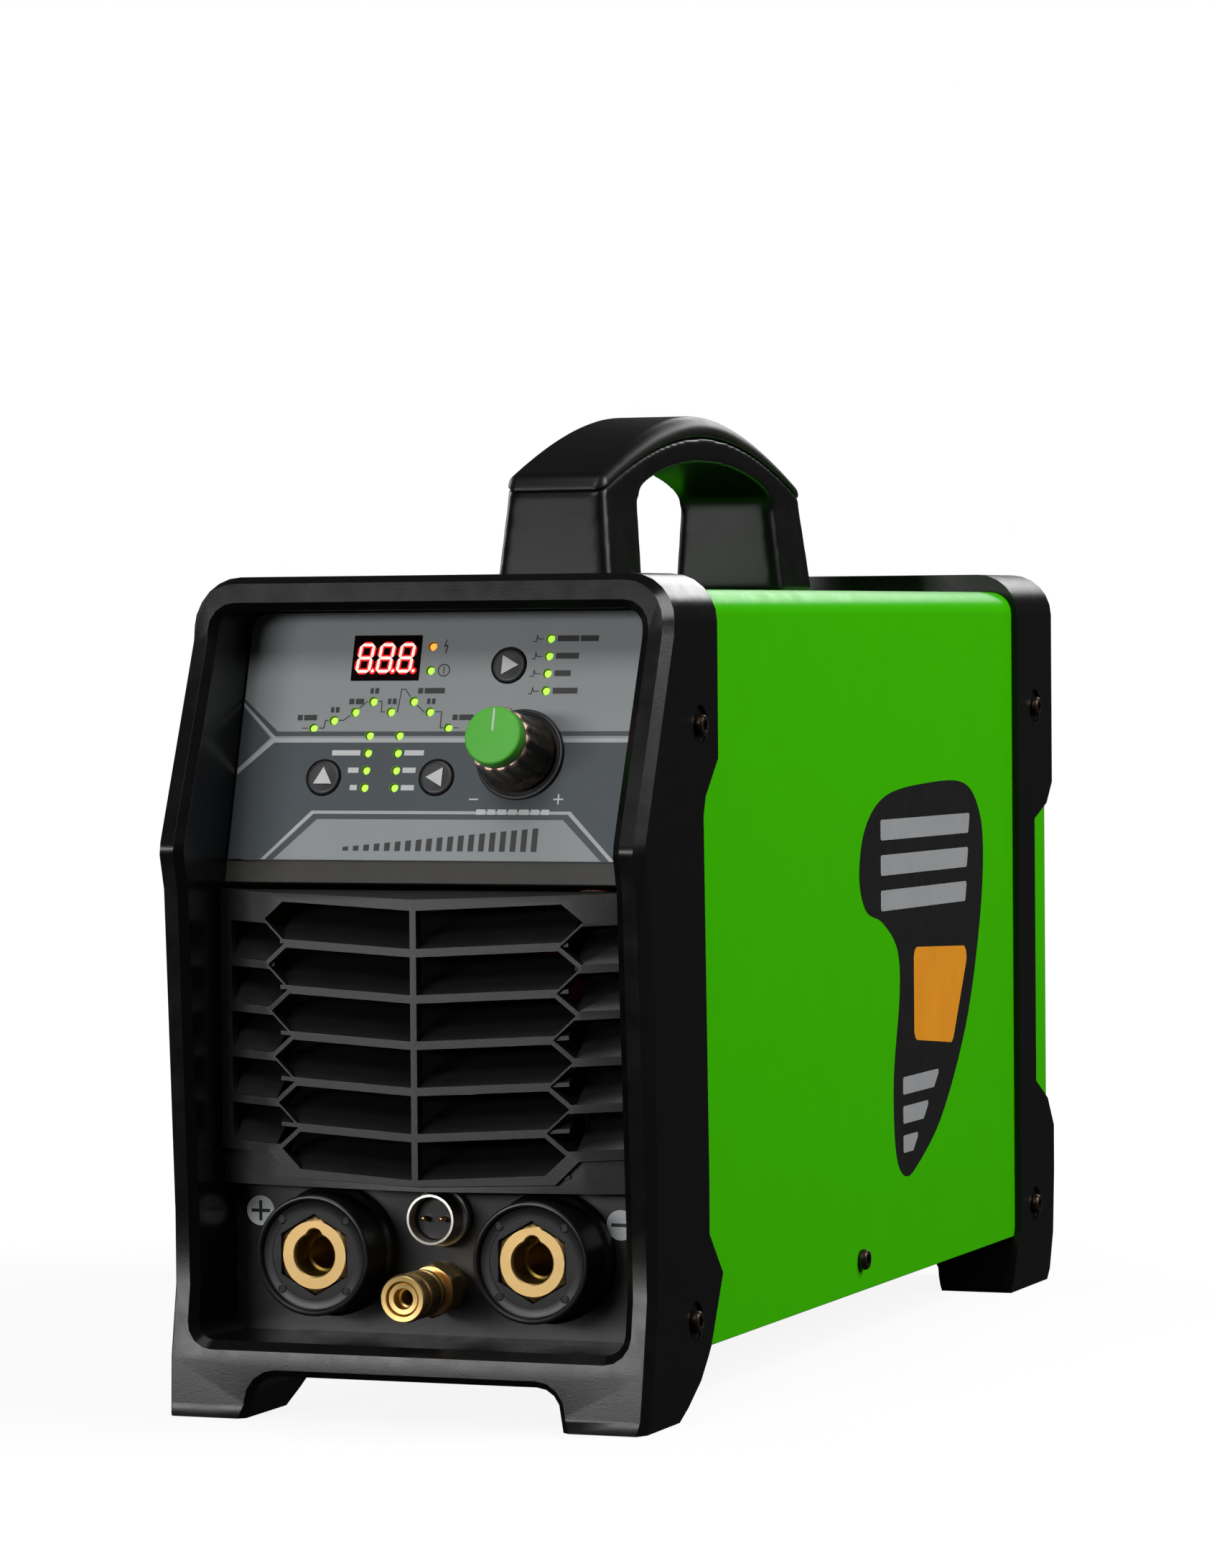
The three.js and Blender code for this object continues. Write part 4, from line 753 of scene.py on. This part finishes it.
def keys():
    turns = {"up": 0.0, "left": math.pi / 2, "right": -math.pi / 2}
    for name, (x, v) in KEYS.items():
        r = 5.5
        rings = [(0, -7.4), (1.5, -7.4), (1.5, -4.6), (6.6, -4.6), (6.6, -3.7), (r, -3.7), (r, -0.1),
                 (r - 0.15, 0.3), (r - 0.5, 0.55), (r - 1.1, 0.6), (3, 0.42), (0, 0.36)]
        key = polar("key_" + name, rings, on_panel(x, v), 64)
        dress(key, "button", name + "_key", ("button_" + name,))
        arrow = [(-3.1, -2.1), (3.1, -2.1), (0, 3.4)]
        c, s = math.cos(turns[name]), math.sin(turns[name])
        arrow = [(a * c - b * s, a * s + b * c) for a, b in arrow]
        mark = cut_sheet("key_arrow_" + name, [arrow], 0.25, on_panel(x, v, 0.5))
        dress(mark, "print_white", name + "_key")


def knob():
    place = on_panel(*KNOB_AT)
    dial = [(4.3, 0.3), (14.5, 0.3), (14.5, 0.8), (14.2, 1.15)]
    for k in range(5):
        r = 13.6 - k * 0.75
        dial += [(r, 1.2), (r - 0.18, 0.95), (r - 0.36, 0.95), (r - 0.54, 1.2)]
    dial += [(9.4, 1.2), (9.0, 0.9), (4.3, 0.9)]
    turned("dial_plate", "nylon", "nylon_black", place, dial, 96, closed=True)
    count = 14

    def wave(r, depth):
        return scalloped(r, depth, count)

    skirt = [(3.2, 1.7), (11.9, 1.7), (12.2, 2.1), (12.2, 3.1), (11.9, 3.7), (wave(11.3, 0.25), 4.6),
             (wave(10.9, 0.6), 6.5), (wave(10.6, 0.8), 12), (wave(10.45, 0.9), 17.6), (wave(10.4, 0.9), 18.6)]
    rim = [(wave(10.4, 0.9), 18.7), (wave(10.35, 0.85), 19.2), (wave(10.0, 0.6), 19.6), (9.4, 19.7),
           (9.3, 19.5), (9.2, 18.7)]
    skirt += [(9.2, 18.6), (3.2, 18.6)]
    turned("knob_skirt", "skirt", "knob_skirt", place, skirt, 168, closed=True, body="knob")
    dress(polar("knob_rim", rim, place, 168, closed=True), "rim", "knob")
    cap = [(0, 19.0), (9.15, 19.0), (9.3, 19.4), (9.25, 23.3), (9.05, 23.9), (8.6, 24.25), (7, 24.4),
           (0, 24.5)]
    turned("knob_cap", "cap", "knob_cap", place, cap, 96, body="knob")
    line = cut_sheet("pointer_line", [[(-0.3, 1.4), (0.3, 1.4), (0.3, 8.4), (-0.3, 8.4)]], 0.12,
                     on_panel(*KNOB_AT, 24.36))
    dress(line, "print_white", "knob")
    NODES["encoder_shaft"].data.materials.clear()
    NODES["encoder_shaft"].data.materials.append(LOOK["steel"])


# ---- connections ----
def output_sockets():
    def bore(t):
        turn = t - math.pi / 2
        offset, key_r = 5.4, 2.7
        if math.cos(turn) <= 0 or abs(offset * math.sin(turn)) >= key_r:
            return 6.7
        reach = offset * math.cos(turn) + math.sqrt(key_r ** 2 - (offset * math.sin(turn)) ** 2)
        return max(6.7, reach)

    pocket = hexagon(21.9)
    for node_side in ("negative", "positive"):
        middle = middle_of("socket_housing_" + node_side)
        place = facing_front(middle.x, middle.z)
        housing = [
            (pocket, 4.5), (pocket, 17.9), (lambda t: pocket(t) + 0.25, 18.1), (13.9, 18.1), (14.0, 18.3),
            (16.6, 18.3), (16.9, 18.45), (17.1, 19.4), (17.4, 19.9), (17.9, 20.1), (18.4, 20.0),
            (18.8, 19.6), (18.9, 19.0), (18.9, 6.6), (19.2, 5.6), (20.0, 4.9), (20.4, 4.4), (20.5, 3.9),
            (20.5, 0.7), (20.2, 0.35), (8.7, 0.35),
        ]
        turned("socket_housing_" + node_side, "nylon", "nylon_black", place, housing, 120, closed=True)
        dots = []
        for k in range(4):
            a = math.radians(45 + 90 * k)
            spot = facing_front(middle.x + 15.2 * math.cos(a), middle.z + 15.2 * math.sin(a))
            dots.append(polar("dot", [(0, 18.2), (1.35, 18.2), (1.35, 18.42), (1.15, 18.48), (1.0, 18.36),
                                      (0, 18.36)], spot, 24))
        dress(joined("socket_pips_" + node_side, dots), "nylon", "machine")
        hexa = hexagon(21.3)
        brass = [
            (0, -5.6), (bore, -5.6), (bore, 17.5), (lambda t: bore(t) + 0.4, 17.9),
            (smaller(hexa, 10.55), 17.9), (smaller(hexa, 11.2), 17.45), (smaller(hexa, 12.0), 16.7),
            (hexa, 16.2), (hexa, 4.7), (8.2, 4.6), (8.2, -16), (0, -16),
        ]
        turned("socket_contact_" + node_side, "brass_raw", "brass", place, brass, 120, angle=28)
        # Inside the bore, a ribbed shell of darker brass: its darker colour is painted shade in the bore.
        wall = [(lambda t, k=k: bore(t) - 0.06 - 0.14 * (k % 2), -5 + k) for k in range(21)]
        shaded_bore = [
            (0, -5.5), (lambda t: bore(t) - 0.06, -5.5), *wall, (lambda t: bore(t) - 0.1, 16.2),
            (lambda t: bore(t) - 0.7, 14.6), (lambda t: bore(t) - 0.7, 9), (lambda t: bore(t) - 1.5, 8.6),
            (lambda t: bore(t) - 1.5, -5), (0, -5),
        ]
        shaded_bore = polar("socket_liner_" + node_side, shaded_bore, place, 120, angle=28)
        dress(shaded_bore, "brass_dark", "machine")


def torch_socket():
    middle = middle_of("torch_socket_shell")
    place = facing_front(middle.x, middle.z)
    shell = [(4.6, -9.8), (7.3, -9.8), (7.3, 0.3), (9.0, 0.35), (9.3, 0.7), (9.3, 2.7), (9.1, 3.1),
             (8.5, 3.3), *threads(8.0, 3.6, 10.2, 0.9, 0.28), (8.0, 10.9), (7.8, 11.6), (7.1, 11.65),
             (6.95, 11.5), (6.9, 11.2), (6.9, 2.2), (4.6, 2.2)]
    turned("torch_socket_shell", "nickel", "nickel", place, shell, 96, closed=True)
    insert = [(0, -7.8), (4.2, -7.8), (4.2, 2.3), (6.6, 2.4), (6.6, 6.4), (6.3, 6.8), (0, 6.8)]
    turned("torch_socket_insert", "nylon", "gloss_black", place, insert, 48)
    pins = [
        polar("pin", [(0, 6), (0.85, 6), (0.85, 9.6), (0.6, 10.1), (0, 10.35)],
              facing_front(middle.x + dx, middle.z), 20)
        for dx in (-3, 3)
    ]
    dress(joined("torch_socket_pins", pins), "gold_pin", "machine")


def gas_outlet():
    middle = middle_of("gas_outlet_sleeve")
    place = facing_front(middle.x, middle.z)
    nut = hexagon(15.0)
    body = [(0, -9.6), (2.4, -9.6), (2.4, 25.4), (2.5, 29.0), (3.1, 29.4), (3.1, 32.9), (3.3, 33.4),
            (4.7, 33.5), (5.0, 33.1), (5.0, 12.2), (smaller(nut, 7.6), 12.0), (smaller(nut, 8.2), 11.5),
            (nut, 11.0), (nut, 4.8), (smaller(nut, 8.2), 4.3), (smaller(nut, 7.6), 3.9), (7.6, 3.8),
            (7.6, 0.35), (5.1, 0.3), (5.1, -9), (4.2, -10), (4.2, -20), (3.2, -22), (0, -22)]
    turned("gas_outlet_body", "brass", "brass", place, body, 96, angle=28)
    knurl = scalloped(7.35, 0.22, 48)
    sleeve = [(5.35, 16.7), (5.35, 33.9), (5.5, 34.2), (6.9, 34.3), (7.2, 34.0), (7.35, 33.4), (7.4, 32.6),
              (7.5, 31.6), (7.5, 30.8), (7.2, 30.4), (6.9, 30.2), (6.9, 28.4), (7.2, 28.0), (7.35, 27.6),
              (knurl, 27.3), (knurl, 21.4), (7.35, 21.1), (7.2, 20.4), (6.9, 20.2), (6.9, 19.4), (7.3, 19.0),
              (7.3, 17.2), (7.0, 16.6)]
    turned("gas_outlet_sleeve", "brass", "brass", place, sleeve, 192, closed=True, angle=28,
           body="gas_sleeve")


def polarity_marks():
    thick = 0.12
    for x, z, crossed in ((-62.4, 60.6, True), (58.6, 59.5, False)):
        place = facing_front(x, z, PLATE_Y - 0.02)
        disc = [circle_loop(0, 0, 4.7, 48)]
        if crossed:
            a, b = 0.55, 3.2
            disc.append([(-b, -a), (-a, -a), (-a, -b), (a, -b), (a, -a), (b, -a), (b, a), (a, a), (a, b),
                         (-a, b), (-a, a), (-b, a)])
        else:
            disc.append([(-3.2, -0.55), (3.2, -0.55), (3.2, 0.55), (-3.2, 0.55)])
        mark = cut_sheet("polarity_" + ("plus" if crossed else "minus"), disc, thick, place)
        dress(mark, "print_disc", "machine")


# ---- side graphic: plain shapes ----
def softened(corners, r):
    """A polygon with its corners rounded."""
    steps = 6
    loop = []
    for i, corner in enumerate(corners):
        here = Vector(corner)
        before = (Vector(corners[i - 1]) - here).normalized()
        after = (Vector(corners[(i + 1) % len(corners)]) - here).normalized()
        half = before.angle(after) / 2
        reach = r / math.tan(half)
        start, stop = here + before * reach, here + after * reach
        centre = here + (before + after).normalized() * (r / math.sin(half))
        for k in range(steps + 1):
            ray = (start - centre).lerp(stop - centre, k / steps).normalized()
            loop.append(tuple(centre + ray * r))
    return loop


def flowing(points):
    """A closed smooth curve through the points."""
    steps = 8
    loop = []
    count = len(points)
    for i in range(count):
        p0, p1, p2, p3 = (Vector(points[(i + k) % count]) for k in (-1, 0, 1, 2))
        for k in range(steps):
            t = k / steps
            spot = 0.5 * (2 * p1 + (p2 - p0) * t + (2 * p0 - 5 * p1 + 4 * p2 - p3) * t ** 2
                          + (3 * p1 - p0 - 3 * p2 + p3) * t ** 3)
            loop.append(tuple(spot))
    return loop


def side_graphic():
    """A plain dark drop shape with a coloured bar and grey stripes, on both sides of the cover."""
    shield = flowing([
        (227, 159), (234, 175), (256, 185), (300, 188), (344, 187), (363, 177), (368, 160), (362, 133),
        (346, 101), (318, 72), (290, 57), (275, 54), (265, 63), (263, 88), (270, 116), (268, 132),
        (252, 142), (234, 147),
    ])
    bar = softened([(286, 132), (350, 129), (330, 96), (286, 100)], 4)
    stripes = []
    for k in range(3):
        far, top = 352 - k * 2, 177 - k * 12
        stripes.append(softened([(250, top), (far, top - 1), (far - 2, top - 8), (250, top - 7)], 1.2))
    for k in range(3):
        far, top = 315 - k * 12, 88 - k * 10
        stripes.append(softened([(273, top), (far, top), (far - 7, top - 6), (273, top - 6)], 1))
    layers = (("field", [shield], "print_black"), ("bar", [bar], "print_orange"),
              ("stripes", stripes, "print_grey"))
    thick = 0.05
    for side, label in ((-1, "left"), (1, "right")):
        place = facing_side(side, 0, 0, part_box("cover")[1].x / MM + 0.02)
        for name, loops, look in layers:
            flat = [[(side * y, z) for y, z in loop] for loop in loops]
            layer = 0 if name == "field" else 1
            sheet = prisms("side_" + name + "_" + label, flat, thick,
                           place @ Matrix.Translation((0, 0, thick * layer * MM)))
            dress(sheet, look, "machine")


# ---- rear ----
def rear_fittings():
    for node, look, width in (("mains_switch_body", "nylon", 0.3), ("mains_switch_rocker", "nylon", 0.4),
                              ("fan_frame", "nylon", 0.4)):
        refined(node, look, width)
    panel_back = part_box("rear_panel")[1].y / MM - DATUM_Y

    gland = middle_of("cable_gland")
    place = facing_back(gland.x, gland.z, panel_back)
    nut = hexagon(21.6)
    dome = scalloped(10.9, 0.5, 18)
    rings = [(4.2, -11.6), (7.8, -11.6), (7.8, 0.3), (smaller(nut, 11.4), 0.35), (nut, 0.9), (nut, 5.6),
             (smaller(nut, 11.2), 6.2), (10.2, 6.4), (dome, 7.0), (dome, 13.2), (10.2, 15), (8.8, 17.8),
             (7.4, 19.2), (6.2, 19.7), (4.8, 19.6), (4.2, 19.0)]
    turned("cable_gland", "nylon", "nylon_black", place, rings, 144, closed=True)
    nipple = middle_of("gas_inlet_nipple")
    place = facing_back(nipple.x, nipple.z, panel_back)
    hexa = hexagon(12.6)
    rings = [(1.9, -11.6), (4.9, -11.6), (4.9, 0.3), (smaller(hexa, 6.8), 0.4), (hexa, 0.9), (hexa, 5.8),
             (smaller(hexa, 6.6), 6.3), (3.5, 6.5)]
    for k in range(3):
        rings += [(3.3, 8 + k * 4.4), (4.3, 8.5 + k * 4.4), (4.25, 8.9 + k * 4.4)]
    rings += [(3.2, 22.1), (2.7, 22.4), (1.9, 22.3)]
    turned("gas_inlet_nipple", "brass", "brass", place, rings, closed=True)
    earth = middle_of("earth_stud")
    place = facing_back(earth.x, earth.z, panel_back)
    hexa = hexagon(10)
    rings = [(0, -13), (2.9, -13), (2.9, 0.3), (smaller(hexa, 5.5), 0.35), (hexa, 0.8), (hexa, 4.6),
             (smaller(hexa, 5.3), 5.1), (3.1, 5.2), *threads(3.0, 5.3, 9.6, 0.9, 0.3), (2.6, 10.2), (0, 10.3)]
    turned("earth_stud", "zinc", "zinc_steel", place, rings, 60)
    fan(panel_back)


def wire_ring(bm, place, radius, wire, segments=72, sides=10):
    """Adds a ring of round wire; the wire's own radius may vary along the ring."""
    rings = []
    for i in range(segments):
        a = TAU * i / segments
        thick = value(wire, a)
        out = Vector((math.cos(a), math.sin(a), 0))
        rings.append([
            bm.verts.new(place @ ((out * (radius + thick * math.cos(TAU * k / sides))
                                   + Vector((0, 0, thick * math.sin(TAU * k / sides)))) * MM))
            for k in range(sides)
        ])
    for i in range(segments):
        a, b = rings[i], rings[(i + 1) % segments]
        for k in range(sides):
            j = (k + 1) % sides
            bm.faces.new((a[k], b[k], b[j], a[j]))


def fan(panel_back):
    centre = middle_of("fan_frame")
    place = facing_back(centre.x, centre.z, panel_back)
    bm = bmesh.new()
    for r in (12, 18, 24, 30, 36, 41):
        wire_ring(bm, place, r, 0.75 if r < 41 else 0.95)
    guard_out = 1.5
    lift = Matrix.Translation((0, 0, guard_out * MM))
    bm.transform(place @ lift @ place.inverted())
    wires = from_bmesh("guard_rings", bm)
    parts = [wires]
    for k in range(2):
        turned = place @ Matrix.Rotation(math.pi / 4 + k * math.pi / 2, 4, "Z")
        along = turned @ Matrix.Rotation(math.pi / 2, 4, "Y")
        bar = along @ Matrix.Translation((-(guard_out - 0.2) * MM, 0, 0))
        parts.append(polar("bar", [(0, -58.4), (0.8, -58.3), (0.8, 58.3), (0, 58.4)], bar, 12))
    for a in (-1, 1):
        for b in (-1, 1):
            spot = facing_back(centre.x + a * 41.3, centre.z + b * 41.3, panel_back)
            lug = [(0, -1.4), (1.9, -1.4), (1.9, 0.6), (3.5, 0.6), (3.6, 0.9), (3.6, 2.2), (3.1, 2.5),
                   (scalloped(1.6, 0.3, 4), 2.5), (1.2, 1.6), (0, 1.6)]
            parts.append(polar("lug", lug, spot, 36))
    dress(joined("fan_guard_shape", parts), "zinc", "machine", ("fan_guard",))
    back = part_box("fan_rotor")[1].y / MM - DATUM_Y
    hub_place = facing_back(centre.x, centre.z, back)
    hub = [(0, -19.6), (17, -19.6), (17, -2.4), (16.4, -1.0), (15.2, -0.2), (0, 0)]
    hub = polar("hub", hub, hub_place, 72)
    parts = [hub]
    for k in range(7):
        spin = Matrix.Rotation(TAU * k / 7, 4, "Z")
        rings = []
        for s in range(9):
            u = s / 8
            r = 16.4 + u * 25
            pitch = math.radians(52 - 22 * u)
            chord = 18 + 5 * u
            section = []
            for w in range(16):
                a = TAU * w / 16
                along = math.cos(a) * chord / 2
                thick = math.sin(a) * 0.9 * (1 - 0.5 * abs(math.cos(a)))
                camber = 1.6 * (1 - (2 * along / chord) ** 2)
                x = along * math.cos(pitch) + (thick + camber) * math.sin(pitch)
                z = along * math.sin(pitch) - (thick + camber) * math.cos(pitch)
                section.append(hub_place @ spin @ (Vector((r, x, z * 0.95 - 10)) * MM))
            rings.append(section)
        parts.append(loft("blade", rings))
    dress(joined("fan_rotor_shape", parts), "nylon", "fan_wheel", ("fan_rotor",))


# ---- inside ----
def inside():
    looks = {
        "encoder_body": "zinc", "power_board": "board", "capacitor_1": "nylon", "capacitor_2": "nylon",
        "transformer_core": "ferrite", "heat_sink_left": "alloy", "heat_sink_right": "alloy",
        "gas_valve": "zinc",
    }
    for node, look in looks.items():
        refined(node, look, 0.3, segments=2)
    refined("transformer_winding", "copper", 0.8)
    coil_low, coil_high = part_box("hf_coil")
    middle = middle_of("hf_coil")
    place = facing_back(middle.x, middle.z, coil_low.y / MM - DATUM_Y)
    length = (coil_high.y - coil_low.y) / MM
    coil = [(9.2, 0.2), (19.6, 0.2), *threads(19.9, 0.6, length - 0.6, 2.4, 0.9), (19.6, length - 0.2),
            (9.2, length - 0.2)]
    turned("hf_coil", "red_part", "copper_wire", place, coil, closed=True)
    turns, per_turn, sides = 34, 6, 12
    bm = bmesh.new()
    wire_ring(bm, placed(middle_of("output_choke") * MM, X, Y), 24,
              lambda a: 11.2 + 0.7 * math.cos(turns * a), turns * per_turn, sides)
    dress(from_bmesh("output_choke_shape", bm, 60), "copper", "machine", ("output_choke",))


# ---- camera, light and floor ----
def camera():
    azimuth, pitch, roll = math.radians(20.831), math.radians(1.601), math.radians(-0.473)
    ahead = Vector((-math.sin(azimuth) * math.cos(pitch), math.cos(azimuth) * math.cos(pitch),
                    -math.sin(pitch)))
    right = Vector((math.cos(azimuth), math.sin(azimuth), 0))
    up = right.cross(ahead)
    across = math.cos(roll) * right + math.sin(roll) * up
    upright = -math.sin(roll) * right + math.cos(roll) * up
    data = bpy.data.cameras.new("camera")
    data.lens = 129.65
    data.sensor_width = 36
    data.clip_start, data.clip_end = 0.05, 50
    eye = bpy.data.objects.new("camera", data)
    bpy.context.scene.collection.objects.link(eye)
    eye.matrix_world = placed(point(670.592, -1566.069, 243.259), across, upright)
    bpy.context.scene.camera = eye


def softbox(name, place, target, size, power):
    data = bpy.data.lights.new(name, "AREA")
    data.shape = "RECTANGLE"
    data.size, data.size_y = size
    data.energy = power
    lamp = bpy.data.objects.new(name, data)
    bpy.context.scene.collection.objects.link(lamp)
    lamp.location = place
    lamp.rotation_euler = (Vector(target) - Vector(place)).to_track_quat("-Z", "Y").to_euler()


def floor_finish():
    """A white sweep: it takes a soft shadow near the machine and fades to plain white further out."""
    made = finish_of("white_sweep", (0.1, 0.1, 0.1), 0.9, bump=0, mottle=0.01, patch=4, specular=0.0)
    nodes, links = made.node_tree.nodes, made.node_tree.links
    shader = nodes["Principled BSDF"]
    place = nodes.new("ShaderNodeTexCoord")
    away = nodes.new("ShaderNodeVectorMath")
    away.operation = "LENGTH"
    links.new(place.outputs["Object"], away.inputs[0])
    fade = nodes.new("ShaderNodeMapRange")
    fade.inputs["From Min"].default_value = 0.25
    fade.inputs["From Max"].default_value = 0.8
    fade.inputs["To Min"].default_value = 0.9
    fade.inputs["To Max"].default_value = 1.0
    links.new(away.outputs["Value"], fade.inputs["Value"])
    links.new(fade.outputs["Result"], shader.inputs["Emission Strength"])
    shader.inputs["Emission Color"].default_value = (1, 1, 1, 1)
    return made


def world_light():
    """A faint even light; rays straight from the camera see plain white."""
    world = bpy.data.worlds.new("studio")
    bpy.context.scene.world = world
    world.use_nodes = True
    nodes, links = world.node_tree.nodes, world.node_tree.links
    ground = nodes["Background"]
    ground.inputs["Color"].default_value = (1, 1, 1, 1)
    ground.inputs["Strength"].default_value = 0.022
    backdrop = nodes.new("ShaderNodeBackground")
    backdrop.inputs["Color"].default_value = (1, 1, 1, 1)
    backdrop.inputs["Strength"].default_value = 1.0
    rays = nodes.new("ShaderNodeLightPath")
    mix = nodes.new("ShaderNodeMixShader")
    links.new(rays.outputs["Is Camera Ray"], mix.inputs["Fac"])
    links.new(ground.outputs["Background"], mix.inputs[1])
    links.new(backdrop.outputs["Background"], mix.inputs[2])
    links.new(mix.outputs["Shader"], nodes["World Output"].inputs["Surface"])


def lights():
    softbox("front_light", (-0.74, -1.95, 0.4), (0, -0.2, 0.12), (0.95, 0.24), 12)
    softbox("right_light", (1.55, 0.25, 1.2), (0, 0, 0.13), (1.2, 1.2), 40)
    softbox("left_light", (-1.8, 0.6, 0.9), (0, 0, 0.13), (0.9, 0.9), 14)
    softbox("top_light", (-0.1, -0.7, 1.6), (0, -0.1, 0.1), (0.8, 0.6), 3)
    softbox("fill_light", (-0.05, -1.4, 1.2), (0, -0.2, 0.2), (0.6, 0.5), 6)
    softbox("back_light", (0.0, 2.0, 1.0), (0, 0.1, 0.25), (1.2, 0.3), 7)


def white_floor():
    floor = new_object("floor", bpy.data.meshes.new("floor"))
    bm = bmesh.new()
    bmesh.ops.create_grid(bm, x_segments=8, y_segments=8, size=12)
    bm.to_mesh(floor.data)
    bm.free()
    floor.location.z = -0.0002
    floor.data.materials.append(floor_finish())
    floor.visible_diffuse = False
    floor.visible_glossy = False


def plain_view():
    view = bpy.context.scene.view_settings
    view.view_transform = "Standard"
    view.look = "None"


camera()
world_light()
lights()
white_floor()
plain_view()
casing()
handle()
screws()
film()
symbols()
lamps()
display()
keys()
knob()
output_sockets()
torch_socket()
gas_outlet()
polarity_marks()
side_graphic()
rear_fittings()
inside()
